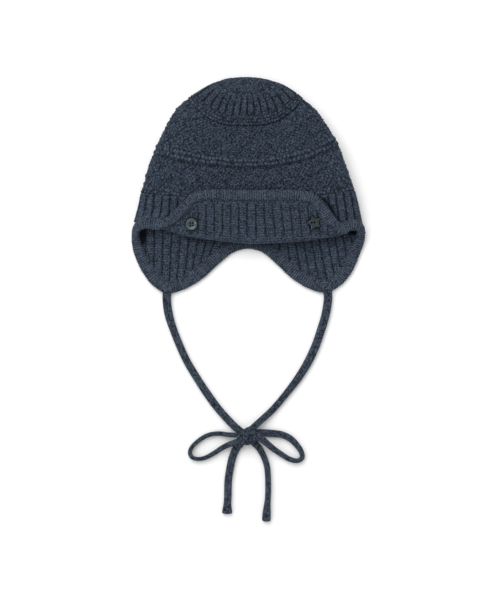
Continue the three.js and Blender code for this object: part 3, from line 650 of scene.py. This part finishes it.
bands = {
    "front": 400, "back": 230, "step": 0.52, "fuzz": 0.5, "seedsUpper": 78, "seedsLower": 94, "course": 1.9,
    "relief": 1.1, "garter": 1.2, "lozenge": 25, "creaseWide": 1.5, "beadsTwo": 108, "ridgeTwoAt": 79.3,
    "rowTwo": 3.8, "beadsThree": 116, "ridgeThreeAt": 112.5, "rowThree": 3.4,
    "profile": [
        (46.6, -1.35), (47.4, -1.3), (48, -0.8), (49, -0.2), (51, 0), (64, 0.4), (76.6, 0), (77.4, 0.2),
        (78.4, 0.9), (80, 1.5), (83, 1.5), (84.4, 1.1), (85.3, 0.4), (86, -0.3), (87.4, -0.3), (89.4, 0),
        (98, 0.3), (109, 0), (110.2, 0.2), (111.2, 0.8), (112.6, 1), (113.8, 0.8), (114.5, 0.3),
        (114.8, -0.3), (114.4, -0.9),
    ],
    "inside": (114.2, 108, 101, 93, 86, 78, 70, 62, 55, 50, 46.8),
}


def knitBands(look, v, turns, here):
    # Seed stitches strewn in faint lozenges over a plain ground, between garter ridges
    ridgeTwo = smooth(v, 76.8, 78.4) * (1 - smooth(v, 85, 86))
    ridgeThree = smooth(v, 110, 111.4)
    plain = 1 - np.clip(ridgeTwo + ridgeThree, 0, 1)
    upper = v < 81
    columns = np.where(upper, look["seedsUpper"], look["seedsLower"])
    wobble = drift(turns * columns / 3, v / 6) - 0.5
    along = v / look["course"] + wobble
    seedsUpper = ringBumps(turns, look["seedsUpper"], along, (0.28, 0.54), 0.22, 0.3)
    seedsLower = ringBumps(turns, look["seedsLower"], along, (0.28, 0.52), 0.25, 0.1)
    seeds = np.where(upper, seedsUpper, seedsLower)
    ground = bumps(turns * columns * 1.9, v / 1.6, (0.6, 0.6), 0.5, 0.2, 0.3)
    rising = (here[..., 0] - 1.35 * here[..., 1]) / look["lozenge"] + 0.12 * wobble
    falling = (here[..., 0] + 1.35 * here[..., 1]) / look["lozenge"] + 0.35 + 0.12 * wobble
    broken = smooth(drift(here[..., 0] / 9, here[..., 1] / 9), 0.4, 0.7)
    wide = look["creaseWide"]
    creases = [np.exp(-((t - np.round(t)) * look["lozenge"] / wide) ** 2) for t in (rising, falling)]
    valley = np.clip(0.8 * creases[0] * broken + 0.4 * creases[1] * (1 - broken), 0, 1)
    rowTwo = (v - look["ridgeTwoAt"]) / look["rowTwo"]
    rowThree = (v - look["ridgeThreeAt"]) / look["rowThree"]
    beadsTwo = ringBumps(turns, look["beadsTwo"], rowTwo, (0.5, 0.44), 0.15, 0.45)
    beadsThree = ringBumps(turns, look["beadsThree"], rowThree, (0.5, 0.44), 0.2, 0.4)
    beads = np.where(v < 90, beadsTwo, beadsThree)
    depth = (
        plain * (look["relief"] * (0.8 - seeds) + 0.2 * (1 - ground) + 0.6 * valley)
        + (1 - plain) * look["garter"] * (1 - beads)
    )
    shade = 0.84 + 0.16 * smooth(v, 60, 100)
    # darker along the lozenge creases: painted shade
    moss = (0.2 + 0.76 * seeds + 0.16 * ground - 0.3 * valley) * shade
    # a painted shadow line along the base of ridge two
    footShadow = np.exp(-((v - 86.2) / 0.8) ** 2)
    return plain * moss + (1 - plain) * (1.04 * beads - 0.04) - 0.24 * footShadow, depth


ribBand = {
    "front": 440, "back": 290, "step": 0.55, "fuzz": 0.4, "ribs": 57, "firstGroove": 0.13, "groove": 1.4,
    "course": 2.35, "barDeep": 0.45, "pressDeep": 1.2, "ramp": 2.4,
    "pressed": ((65.2, -11.3), (73, -18.4), (77.4, -26), (79.9, -31), (84, -35.5)),  # beside the right slant, where the knit is pressed in and painted darker as the binding's shadow
    "profile": [
        (114.2, -1.2), (114.5, -0.6), (115.2, -0.15), (116.4, 0.05), (117.4, 0), (148.4, 0), (149.2, -0.6),
    ],
    "inside": (149.2, 144, 136, 128, 121, 116.4, 114.4),
}


def knitRibBand(look, v, turns, here):
    ribAcross = turns * look["ribs"] - look["firstGroove"] + 0.5
    bars = rungs(ribAcross, v / look["course"])
    rib = ribShape(ribAcross + 0.03 * (drift(ribAcross, v / 4) - 0.5), 0.18, bars)
    x, y = here[..., 0], here[..., 1]
    left = smooth(-x, 70, 80)
    rib = 1 - (1 - rib) * (1 - left * (1 - smooth(y, -33, -24)))
    start = smooth(v, 115, 117.4)
    pressX, pressY = np.array(look["pressed"]).T
    offPress = x - np.interp(-y, -pressY, pressX)
    # the knit pressed in beside the right slanted binding, and painted darker there as its shadow
    pressed = np.exp(-(offPress / 1.6) ** 2) * smooth(-y, 9, 14) * (1 - smooth(-y, 34, 38))
    depth = start * (look["groove"] * (1 - rib) + look["barDeep"] * rib * (1 - bars))
    depth = depth + look["pressDeep"] * pressed
    front = smooth(x, -99, -91) * (turns < 0.5)
    depth = depth - look["ramp"] * front * left * smooth(-y, 19, 29)  # up to the binding at its left end
    # grooves painted a little darker as shade, the pressed line much darker as painted shadow
    return rib * (0.22 + 0.56 * bars) - 0.06 * (1 - rib) - 0.9 * pressed, depth


seat(capPiece("crown_dome", crownTop, knitCrownTop, False), "knit", "crown_top")
seat(capPiece("moss_bands", bands, knitBands, True), "knit", "crown_body")
seat(capPiece("rib_body", ribBand, knitRibBand, True), "knit", "rib_band")


# The rim: stations of the binding's middle line, from the flap round the sides and ear flaps to the nape

rimColumns = ("left", "right", "lie", "widths", "lean")
rimStations = {
    "flap middle": ((0, -9.6), (0, -9.6), "flap", (9.4, 9.4), 0),
    "flap corner": ((-46, -10.9), (55.8, -11.6), "flap", (9, 9.2), 0),
    "slant upper": ((-57.6, -20.7), (65.2, -20), "flap", (8.6, 9.8), 0),
    "slant lower": ((-69, -31.6), (74, -31.5), "flap", (8.8, 10), 0),
    "temple": ((-80.5, -35), (82.5, -38.6), "flap", (9.8, 9.6), 0.1),
    "side upper": ((-93.3, -34.4), (93.6, -35.6), 15.2, (9.8, 10), 0.35),
    "side turn": ((-100.3, -38.9), (101.2, -38.3), 10.6, (8.8, 8.4), 1),
    "side low": ((-101.1, -47), (101.2, -47), 5.8, (8.6, 9.6), 0.6),
    "ear outer": ((-98.8, -58.8), (96.2, -59.1), 2.9, (9.2, 10.8), 0.1),
    "ear lower": ((-90.8, -74.3), (88.9, -75.2), 2.4, (11.6, 11.2), 0),
    "ear turn": ((-81.9, -85.8), (79.4, -85.9), 2.4, (11.6, 11.2), 0),
    "ear tip": ((-72.7, -91.2), (69.2, -90.8), 2.4, (11.2, 11), 0),
    "inner low": ((-60.9, -88.6), (57.4, -87.7), 2.4, (11.6, 11.2), 0),
    "inner middle": ((-45, -79.4), (42.8, -78.8), 2.4, (11.6, 11.2), 0),
    "inner high": ((-28.8, -65), (27.6, -64.8), 2.4, (11.2, 10.9), 0),
    "nape turn": ((-15.8, -55.8), (15.2, -55.6), 2.4, (10, 9.9), 0),
    "nape": ((0, -52), (0, -52), 2.4, (9.4, 9.4), 0),
}
stationNames = list(rimStations)


def ringAcross(values, x):
    ring = dict(zip(ringColumns, values))
    width = (ring["rightX"] - ring["leftX"]) / 2
    across = np.clip((x - (ring["rightX"] + ring["leftX"]) / 2) / width, -1, 1)
    inwards = np.minimum(width * (1 - np.abs(across)) / (sideRoll * ring["half"]), 1)
    share = np.sqrt(np.maximum(0, 1 - (1 - inwards) ** 2))
    return ring, across, share


def ringLine(values, x, onBack=False):
    # Y and height of a ring's front at places across the cap
    ring, across, share = ringAcross(values, x)
    middle = ring["back"] if onBack else ring["middle"]
    side = np.where(across < 0, ring["leftY"], ring["rightY"])
    bend = np.where(across < 0, ring["bendLeft"], ring["bendRight"])
    y = middle + (side - middle) * np.abs(across) ** bend
    return y, ring["mid"] + ring["half"] * share * (1 - frontDome * across ** 2)


def frontHeight(x, y):
    # Height of the front of the body at a place in plan
    frontRings = []
    for name in ("ridgeTwoFoot", "lowerMiddle", "ridgeThreeTop", "ridgeThreeFoot", "ribMiddle", "mouth"):
        values = list(rings[name])
        values[5] += 0.8 if name.startswith("ridgeThree") else 0
        frontRings.append(ringLine(values, x))
    height = frontRings[-1][1] + 0 * y
    for (upperY, upperZ), (lowerY, lowerZ) in zip(frontRings[-2::-1], frontRings[:0:-1]):
        part = np.clip((y - lowerY) / (upperY - lowerY), 0, 1)
        height = np.where(y >= lowerY, lowerZ + (upperZ - lowerZ) * part, height)
    return height


def rimCurve():
    rows = [dict(zip(rimColumns, station)) for station in rimStations.values()]
    order = [(row, "left", -1) for row in rows] + [(row, "right", 1) for row in rows[-2:0:-1]]
    points, widths, leans = [], [], []
    for row, side, sign in order:
        x, y = row[side]
        z = row["lie"]
        if z == "flap":
            z = float(frontHeight(np.array(x), np.array(y))) + foldGap + bandThick / 2
        points.append((x, y, z))
        widths.append(row["widths"][sign > 0])
        leans.append(sign * row["lean"])
    line, place, run, length = routeThrough(points, closed=True, step=binding["step"])
    wrap = np.arange(len(points) + 1)
    width = np.interp(place, wrap, [*widths, widths[0]])
    lean = np.interp(place, wrap, [*leans, leans[0]])
    return line, run, length, width, lean, place


binding = {"stroke": 2.1, "relief": 0.9, "around": 22, "step": 0.42, "skew": 0.22, "edgeShade": 0.35}
rimLine, rimRun, rimLength, rimWidth, rimLean, rimPlace = rimCurve()


def makeBinding(look):
    across, normal = tubeFrame(np.roll(rimLine, -1, axis=0) - np.roll(rimLine, 1, axis=0), rimLean)
    strokes = round(rimLength / look["stroke"])
    angle = np.arange(look["around"])[None, :] * 2 * np.pi / look["around"]
    phase = rimRun[:, None] / rimLength * strokes + look["skew"] * np.sin(angle)
    uneven = chance.random((2, strokes + 1))
    number = np.round(phase).astype(int) % strokes
    stroke = np.abs(np.cos(np.pi * phase)) ** 0.9 * (0.6 + 0.4 * uneven[0, number])
    depth = look["relief"] * (1 - stroke)
    thick = np.full(len(rimLine), bandThick)
    points = tubePoints(rimLine, across, normal, rimWidth + look["relief"], thick, look["around"], depth)
    # darker towards both edges of the tube: painted shade
    shade = 1 - look["edgeShade"] * np.abs(np.cos(angle)) ** 3
    return gridPiece("rim_roll", points, (0.12 + 0.8 * stroke) * shade, bindingKnit, True, True)


seat(makeBinding(binding), "binding", "rim_binding")


# The turned-up front flap and where its buttons are

button = {
    "across": 10.6, "thick": 2.4, "seat": 0.6, "tilt": 0.42, "threadDrop": 1.35,
    "roundAt": (-50.6, -35.2), "rim": 1.2, "slope": 1.6, "dish": 0.75, "edge": 0.55, "hole": 0.88,
    "spread": 1.1,
    "starAt": (59.2, -33.8), "starReach": 6.9, "starTip": 6.1, "starWaist": 3.9, "starTurn": 109,
    "starRound": 1.1, "starSlope": 0.45, "starRise": 0.205, "starEdge": 0.3, "starHole": 0.92,
    "starHoles": [(-2.3, 0.2), (0.2, 0.2)],
}
flap = {
    "left": -78, "right": 89.5, "step": 0.3, "rows": 92, "ribStart": -0.9, "pitchLeft": 7.3,
    "pitchRight": 7.95, "lean": 0.11, "groove": 0.95, "course": 2.35, "taper": 24, "dimpleShade": 0.7,
    "barDeep": 0.5, "purl": (2.6, 2.1), "purlDeep": 0.6, "seam": 2.2, "hem": (6.4, 7.6),
}


def shelled(outer, inner, relief, name, material):
    # A closed piece from its outer face and the rows of its inner face
    points = np.concatenate([outer, inner])
    full = np.concatenate([relief, np.full(inner.shape[:2], 0.3)])
    return gridPiece(name, points, full, material, True, False)


def rimEdgeY(x):
    # Upper edge of the flap, along the binding's middle line
    upper = stationNames[:stationNames.index("side upper") + 1]
    rows = [dict(zip(rimColumns, rimStations[name])) for name in upper]
    xs = [row["left"][0] for row in rows[::-1]] + [row["right"][0] for row in rows[1:]]
    ys = [row["left"][1] for row in rows[::-1]] + [row["right"][1] for row in rows[1:]]
    fine = np.linspace(-120, 120, 961)
    edge = np.interp(fine, xs, ys)
    edge = np.convolve(np.pad(edge, 12, mode="edge"), np.ones(25) / 25, "valid")
    return np.interp(x, fine, edge)


def buttonEdges(x, y):
    # Offsets of places on the flap from each button's middle, and how far its edge lies that way
    roundX, roundY = button["roundAt"]
    starX, starY = button["starAt"]
    turn = np.arctan2(y - starY, x - starX) - math.radians(button["starTurn"])
    tip, waist = button["starTip"], button["starWaist"]
    star = (tip + waist) / 2 + (tip - waist) / 2 * np.cos(5 * turn)
    return [(x - roundX, y - roundY, button["across"] / 2), (x - starX, y - starY, star)]


def makeFlap(look):
    x = np.linspace(look["left"], look["right"], round((look["right"] - look["left"]) / look["step"]))
    pinch = 0.4 + 0.6 * smooth(x, look["left"], look["left"] + look["taper"])
    mouthY = ringLine(rings["mouth"], x)[0]
    foldY = mouthY - foldRise * pinch
    thick = wall * pinch
    radius = thick + foldGap / 2
    turnY = foldY + radius
    base = frontHeight(x, mouthY)
    centre = base + foldGap / 2
    edge = np.maximum(rimEdgeY(x), turnY + 1)
    rows = [(mouthY - 0.3, base - thick)]
    for angle in np.linspace(-90, 90, 19):
        a = math.radians(angle)
        rows.append((turnY - radius * math.cos(a), centre + radius * math.sin(a)))
    for t in np.linspace(0, 1, look["rows"])[1:]:
        y = turnY + (edge - turnY) * t
        rows.append((y, frontHeight(x, y) + foldGap + thick))
    outer = np.stack([np.stack([x, y, z], -1) for y, z in rows])
    steps = np.linalg.norm(np.diff(outer, axis=0), axis=2)
    run = np.concatenate([np.zeros((1, len(x))), np.cumsum(steps, axis=0)])
    normal = gridNormals(outer)
    y = outer[..., 1]
    shifted = x[None, :] + look["lean"] * smooth(x, 0, 25)[None, :] * (y + 30)
    pitch = np.where(shifted < look["ribStart"], look["pitchLeft"], look["pitchRight"])
    ribAcross = (shifted - look["ribStart"]) / pitch + 0.5
    bars = rungs(ribAcross, run / look["course"])
    rib = ribShape(ribAcross + 0.05 * (drift(ribAcross, run / 4) - 0.5), 0.16, bars)
    below = edge[None, :] - y  # how far below the edge
    number = np.arange(len(rows))[:, None]
    flat = 0.2 + 0.8 * smooth(number, 13, 34)  # the fold presses the ribs flatter
    hem = np.where(number >= 20, 1 - smooth(below, *look["hem"]), 0)
    ribbed = smooth(x, -49, -43)[None, :] * (1 - smooth(x, 74, 82))[None, :] * (1 - hem)
    wide, tall = look["purl"]
    purl = bumps(x[None, :] / wide, run / tall, (0.56, 0.6), loose=0.2, least=0.4)
    seam = bumps(x[None, :] / look["seam"], (below - 6) / look["seam"], (0.56, 0.56), 0, 0.08)
    purl = np.where(hem > 0, hem * seam + (1 - hem) * purl, purl)
    depth = ribbed * (look["groove"] * flat * (1 - rib) + look["barDeep"] * rib * (1 - bars))
    depth = depth + (1 - ribbed) * look["purlDeep"] * (1 - purl)
    # the grooves painted a little darker as shade
    ladder = (1 - 0.75 * flat * (1 - rib)) * (0.24 + 0.52 * bars) - 0.1 * flat * (1 - rib)
    knit = ribbed * ladder + (1 - ribbed) * (0.2 + 0.55 * purl)
    for across, up, edgeAt in buttonEdges(x[None, :], y):
        # a dent round each button's edge, also painted darker as the button's shadow
        dimpleShade = np.exp(-(np.maximum(np.hypot(across, up) - edgeAt, 0) / look["dimpleShade"]) ** 2) * (number > 18)
        knit = knit - 0.75 * dimpleShade
        depth = depth + 0.7 * dimpleShade
    outer = outer - normal * depth[..., None]
    innerRows = []
    for t in np.linspace(1, 0, 8):
        y = turnY + (edge - turnY) * t
        innerRows.append((y, frontHeight(x, y) + foldGap))
    for angle in np.linspace(60, -60, 4):
        a = math.radians(angle)
        innerRows.append((turnY - foldGap / 2 * math.cos(a), centre + foldGap / 2 * math.sin(a)))
    innerRows.append((mouthY - 0.3, base))
    inner = np.stack([np.stack([x, y, z], -1) for y, z in innerRows])
    return shelled(outer, inner, knit, "turned_flap", navyKnit)


seat(makeFlap(flap), "knit", "front_flap")


# The ear flaps, which show their inner faces

earFlap = {
    "reach": 12.5, "step": 0.4, "rows": 96, "groove": 0.95, "barDeep": 0.5, "course": 2.35, "lift": 0.3,
    "hollowDeep": 2.4,
}
# The ribs: the first groove at the outer side, the pitch, and how they lean and spread towards the tip.
# The sunken place by the side, painted dark as its shade: its middle, and how far it reaches each way.
earRibs = {
    "left": {
        "start": -84.8, "pitch": 7.85, "lean": 0.0, "spread": 0.0036, "inner": 0.35, "tucked": 4,
        "hollowShade": (-97, -44.6, 5.4, 9.6),
    },
    "right": {
        "start": 86.6, "pitch": 7.3, "lean": -0.19, "spread": 0.0, "inner": 0.12, "tucked": 0,
        "hollowShade": (95.6, -40.3, 3.6, 3.6),
    },
}


def makeEarFlap(side, look):
    sign = -1 if side == "left" else 1
    ribs = earRibs[side]
    outerX = rimStations["side low"][0 if side == "left" else 1][0] - sign * 0.6
    innerX = sign * look["reach"]
    first, last = sorted((outerX, innerX))
    x = np.linspace(first, last, round((last - first) / look["step"]))
    low, nape = stationNames.index("side low"), stationNames.index("nape")
    if side == "left":
        edge = (rimPlace > low) & (rimPlace <= nape)
    else:
        edge = (rimPlace >= nape) & (rimPlace < 2 * nape - low)
    curve = rimLine[edge]
    curve = curve[np.argsort(curve[:, 0])]
    bottom = np.interp(x, curve[:, 0], curve[:, 1])
    top = ringLine(rings["mouth"], x, True)[0] - 0.3
    bottom = np.minimum(bottom, top - 1.5)
    ring, _, share = ringAcross(rings["mouth"], x)
    sideLift = ring["mid"] - ring["half"] * share
    t = np.linspace(0, 1, look["rows"])[:, None]
    y = top + (bottom - top) * t
    tucked = ribs["tucked"] * smooth(-x, 46, 58) * (1 - smooth(-x, 78, 86))
    lift = sideLift * (1 - smooth(t, 0, 0.7)) + tucked * (1 - smooth(t, 0, 0.35)) + look["lift"]
    outer = np.stack([x + 0 * y, y, lift + wall], -1)
    normal = -gridNormals(outer)
    away = np.abs(x[None, :] - ribs["start"]) + 0 * y
    foldLine = -50.0
    for _ in range(4):  # where each place's rib starts at the fold
        lean = ribs["lean"] + ribs["spread"] * away + ribs["inner"] * (away / 60) ** 5
        shift = np.abs(lean) * (foldLine - y)
        start = x[None, :] + (shift if side == "left" else -shift)
        away = np.clip(-sign * (start - ribs["start"]), 0, 75)
    ribAcross = (start - ribs["start"]) / ribs["pitch"] + 0.5
    bars = rungs(ribAcross, y / look["course"])
    rib = ribShape(ribAcross + 0.05 * (drift(ribAcross, y / 4) - 0.5), 0.16, bars)
    hollowX, hollowY, wide, tall = ribs["hollowShade"]
    hollowShade = 1 - smooth(np.hypot((x - hollowX) / wide, (y - hollowY) / tall), 0.65, 1.2)
    depth = look["groove"] * (1 - rib) + look["barDeep"] * rib * (1 - bars) + look["hollowDeep"] * hollowShade
    outer = outer - normal * depth[..., None]
    # the sunken place painted dark as shade; the grooves a little darker as shade
    knit = rib * (0.22 + 0.54 * bars) - 0.02 * (1 - rib) - hollowShade
    back = np.linspace(1, 0, 30)[:, None]
    y = top + (bottom - top) * back
    lift = sideLift * (1 - smooth(back, 0, 0.7)) + tucked * (1 - smooth(back, 0, 0.35)) + look["lift"]
    inner = np.stack([x + 0 * y, y, lift + 0.5 * (1 - ribShape((x - ribs["start"]) / ribs["pitch"]))], -1)
    return shelled(outer, inner, knit, f"ear_lining_{side}", navyKnit)


tab = {
    "reach": (4.7, 4.6, 1.5), "offset": {"left": (0.9, -0.2), "right": (1.5, 1.3)}, "around": 64, "rings": 26,
}


def makeTab(side, look):
    # The end of a tie, sewn down over the tip
    x, y = rimStations["ear tip"][0 if side == "left" else 1]
    centre = (x + look["offset"][side][0], y + look["offset"][side][1], bandThick + 0.35)
    share = np.sin(np.linspace(0, np.pi / 2, look["rings"]))[:, None]
    angle = np.arange(look["around"]) * 2 * np.pi / look["around"]
    u, v = softSquare(angle, 0.75)
    px, py = look["reach"][0] * share * u, look["reach"][1] * share * v
    knit = chevrons(px / 2.1 + 0.5, py / 1.9)
    top = 2 * look["reach"][2] * (1 - share ** 4) ** 0.5 - 0.35 * (1 - knit) * (1 - share ** 6)
    upper = np.stack([px, py, top + 0 * px], -1)
    lower = np.stack([px[::-1], py[::-1], 0 * px], -1)[1:]
    points = np.concatenate([upper, lower]) + np.array(centre)
    relief = np.concatenate([0.2 + 0.8 * knit, np.full(lower.shape[:2], 0.3)])
    return gridPiece(f"sewn_end_{side}", points, relief, tieKnit, False, True)


for side in ("left", "right"):
    seat(makeEarFlap(side, earFlap), "knit", f"ear_flap_{side}")
    seat(makeTab(side, tab), "tie", f"tie_tab_{side}")


# Buttons


def horn(name, tint, deep):
    # Smooth clouded plastic with a little depth
    material, nodes, links, shader = newMaterial(name)
    place = nodes.new("ShaderNodeTexCoord")
    cloud = nodes.new("ShaderNodeTexNoise")
    cloud.inputs["Scale"].default_value = 430
    cloud.inputs["Detail"].default_value = 3
    cloud.inputs["Distortion"].default_value = 1.2
    tone = colourMix(nodes, deep, tint)
    links.new(place.outputs["Object"], cloud.inputs["Vector"])
    links.new(cloud.outputs["Fac"], tone.inputs["Factor"])
    links.new(tone.outputs["Result"], shader.inputs["Base Color"])
    shader.inputs["Roughness"].default_value = 0.12
    shader.inputs["Specular IOR Level"].default_value = 0.45
    return material


roundHorn = horn("roundHorn", (0.06, 0.1, 0.112), (0.004, 0.01, 0.014))
starHorn = horn("starHorn", (0.02, 0.036, 0.041), (0.001, 0.004, 0.006))
threadKnit = yarnMaterial("threadKnit", {**tieYarn, "light": (0.012, 0.018, 0.026)})


def alone(piece):
    bpy.ops.object.select_all(action="DESELECT")
    piece.select_set(True)
    bpy.context.view_layer.objects.active = piece


def applied(piece, kind, **settings):
    modifier = piece.modifiers.new(kind.lower(), kind)
    for name, value in settings.items():
        setattr(modifier, name, value)
    alone(piece)
    bpy.ops.object.modifier_apply(modifier=modifier.name)


def softenEdges(piece, width, segments, angle):
    limit = math.radians(angle)
    applied(piece, "BEVEL", width=width, segments=segments, limit_method="ANGLE", angle_limit=limit)


def pickFaces(piece, test):
    bpy.ops.mesh.select_mode(type="FACE")
    bpy.ops.mesh.select_all(action="DESELECT")
    work = bmesh.from_edit_mesh(piece.data)
    for face in work.faces:
        face.select = test(face)
    work.select_flush_mode()
    bmesh.update_edit_mesh(piece.data)


def drill(piece, places, radius, deep):
    bpy.ops.object.select_all(action="DESELECT")
    cutters = []
    for x, y in places:
        bpy.ops.mesh.primitive_cylinder_add(vertices=20, radius=radius, depth=deep * 4, location=(x, y, 0))
        cutters.append(bpy.context.object)
    cutter = joined(cutters, "cutter")
    applied(piece, "BOOLEAN", object=cutter, operation="DIFFERENCE", solver="EXACT")
    bpy.data.objects.remove(cutter)


def onFlap(piece, place):
    # Seats a piece modelled at the origin on the flap, tipped less than the flap slopes there
    x, y = place
    reach = button["across"] / 2
    low, middle, high = [float(frontHeight(np.array(x), np.array(at))) for at in (y - reach, y, y + reach)]
    slope = button["tilt"] * math.atan2(high - low, 2 * reach)
    seatAt = Matrix.Translation(Vector((x, y, middle + foldGap + wall + button["seat"])) / 1000)
    piece.data.transform(seatAt @ Matrix.Rotation(slope, 4, "X") @ Matrix.Scale(0.001, 4))
    piece.data.update()


def threads(name, pairs, rise):
    made = []
    for (ax, ay), (bx, by) in pairs:
        bpy.ops.object.select_all(action="DESELECT")
        bpy.ops.mesh.primitive_torus_add(
            major_segments=28, minor_segments=8, minor_radius=0.2,
            major_radius=math.dist((ax, ay), (bx, by)) / 2, location=((ax + bx) / 2, (ay + by) / 2, rise),
            rotation=(math.pi / 2, 0, math.atan2(by - ay, bx - ax)),
        )
        made.append(bpy.context.object)
    thread = joined(made, name)
    bpy.ops.object.transform_apply(location=True, rotation=True, scale=True)
    thread.data.materials.append(threadKnit)
    bpy.ops.object.shade_smooth()
    return thread


def makeRound(look):
    thick, radius = look["thick"], look["across"] / 2
    bpy.ops.object.select_all(action="DESELECT")
    bpy.ops.mesh.primitive_cylinder_add(vertices=64, radius=radius, depth=thick, location=(0, 0, thick / 2))
    piece = bpy.context.object
    piece.name = piece.data.name = "button_round"
    bpy.ops.object.transform_apply(location=True, rotation=True, scale=True)
    bpy.ops.object.mode_set(mode="EDIT")
    pickFaces(piece, lambda face: face.normal.z > 0.9)
    bpy.ops.mesh.inset(thickness=look["rim"])
    bpy.ops.mesh.inset(thickness=look["slope"])
    bpy.ops.transform.translate(value=(0, 0, -look["dish"]))
    bpy.ops.object.mode_set(mode="OBJECT")
    softenEdges(piece, look["edge"], 4, 25)
    spread = look["spread"]
    holes = [(u * spread, v * spread) for u in (-1, 1) for v in (-1, 1)]
    drill(piece, holes, look["hole"], thick)
    alone(piece)
    bpy.ops.object.shade_smooth_by_angle(angle=math.radians(35))
    piece.data.materials.clear()
    piece.data.materials.append(roundHorn)
    rise = thick - look["dish"] - look["threadDrop"]
    return piece, threads("thread_round", [(holes[0], holes[1]), (holes[2], holes[3])], rise)


def makeStar(look):
    thick = look["thick"]
    bpy.ops.object.select_all(action="DESELECT")
    bpy.ops.mesh.primitive_circle_add(vertices=10, radius=look["starReach"], fill_type="NGON")
    piece = bpy.context.object
    piece.name = piece.data.name = "button_star"
    bpy.ops.object.mode_set(mode="EDIT")
    bpy.ops.mesh.select_mode(type="VERT")
    bpy.ops.mesh.select_all(action="DESELECT")
    work = bmesh.from_edit_mesh(piece.data)
    for vertex in work.verts:
        vertex.select = vertex.index % 2 == 1
    work.select_flush_mode()
    bmesh.update_edit_mesh(piece.data)
    waist = look["starWaist"] / look["starReach"]
    bpy.ops.transform.resize(value=(waist, waist, 1), center_override=(0, 0, 0))
    bpy.ops.mesh.select_all(action="SELECT")
    bpy.ops.mesh.extrude_region_move(TRANSFORM_OT_translate={"value": (0, 0, thick - look["starRise"])})
    bpy.ops.mesh.select_all(action="SELECT")
    bpy.ops.mesh.normals_make_consistent(inside=False)
    work = bmesh.from_edit_mesh(piece.data)
    bpy.ops.mesh.select_mode(type="EDGE")
    bpy.ops.mesh.select_all(action="DESELECT")
    for edge in work.edges:
        a, b = edge.verts
        edge.select = abs(a.co.z - b.co.z) > thick / 2
    bmesh.update_edit_mesh(piece.data)
    bpy.ops.mesh.bevel(offset=look["starRound"], segments=5)
    pickFaces(piece, lambda face: face.normal.z > 0.9)
    bpy.ops.mesh.inset(thickness=look["starSlope"], depth=look["starRise"])
    bpy.ops.object.mode_set(mode="OBJECT")
    turn = math.radians(look["starTurn"] - 90)  # one point of the new star stands on +Y
    piece.data.transform(Matrix.Rotation(turn, 4, "Z"))
    softenEdges(piece, look["starEdge"], 3, 50)
    drill(piece, look["starHoles"], look["starHole"], thick)
    alone(piece)
    bpy.ops.object.shade_smooth_by_angle(angle=math.radians(20))
    piece.data.materials.clear()
    piece.data.materials.append(starHorn)
    return piece, threads("thread_star", [look["starHoles"]], thick - look["threadDrop"])


for make, place, node in ((makeRound, "roundAt", "round_button"), (makeStar, "starAt", "star_button")):
    piece, stitch = make(button)
    onFlap(piece, button[place])
    onFlap(stitch, button[place])
    seat(piece, "button", node)
    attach(stitch, "root")


# Floor and light

studio = {
    "world": 0.77, "floor": 0.91, "floorAcross": 12, "floorDrop": 0.0002, "aim": (0, -0.05, 0),
    "lights": {
        "key": {"watts": 28, "at": (-0.55, 1.02, 1.5), "size": 1.7},
        "kicker": {"watts": 2.4, "at": (-1.15, -0.63, 1.08), "size": 0.15},
    },
}


paleFloor, _, _, shader = newMaterial("paleFloor")
shader.inputs["Base Color"].default_value = (*[studio["floor"]] * 3, 1)
shader.inputs["Roughness"].default_value = 0.9
bpy.ops.object.select_all(action="DESELECT")
bpy.ops.mesh.primitive_plane_add(size=studio["floorAcross"], location=(0, 0, -studio["floorDrop"]))
floor = bpy.context.object
floor.name = "floor"
floor.data.materials.append(paleFloor)

world = bpy.data.worlds.new("studioWorld")
world.use_nodes = True
world.node_tree.nodes["Background"].inputs["Color"].default_value = (1, 1, 1, 1)
world.node_tree.nodes["Background"].inputs["Strength"].default_value = studio["world"]
bpy.context.scene.world = world
for name, look in studio["lights"].items():
    data = bpy.data.lights.new(name, "AREA")
    data.energy = look["watts"]
    data.size = look["size"]
    light = bpy.data.objects.new(name, data)
    light.location = look["at"]
    light.rotation_mode = "QUATERNION"
    light.rotation_quaternion = (Vector(studio["aim"]) - light.location).to_track_quat("-Z", "Y")
    bpy.context.scene.collection.objects.link(light)
bpy.context.scene.view_settings.view_transform = "Standard"
print("floor and light set")
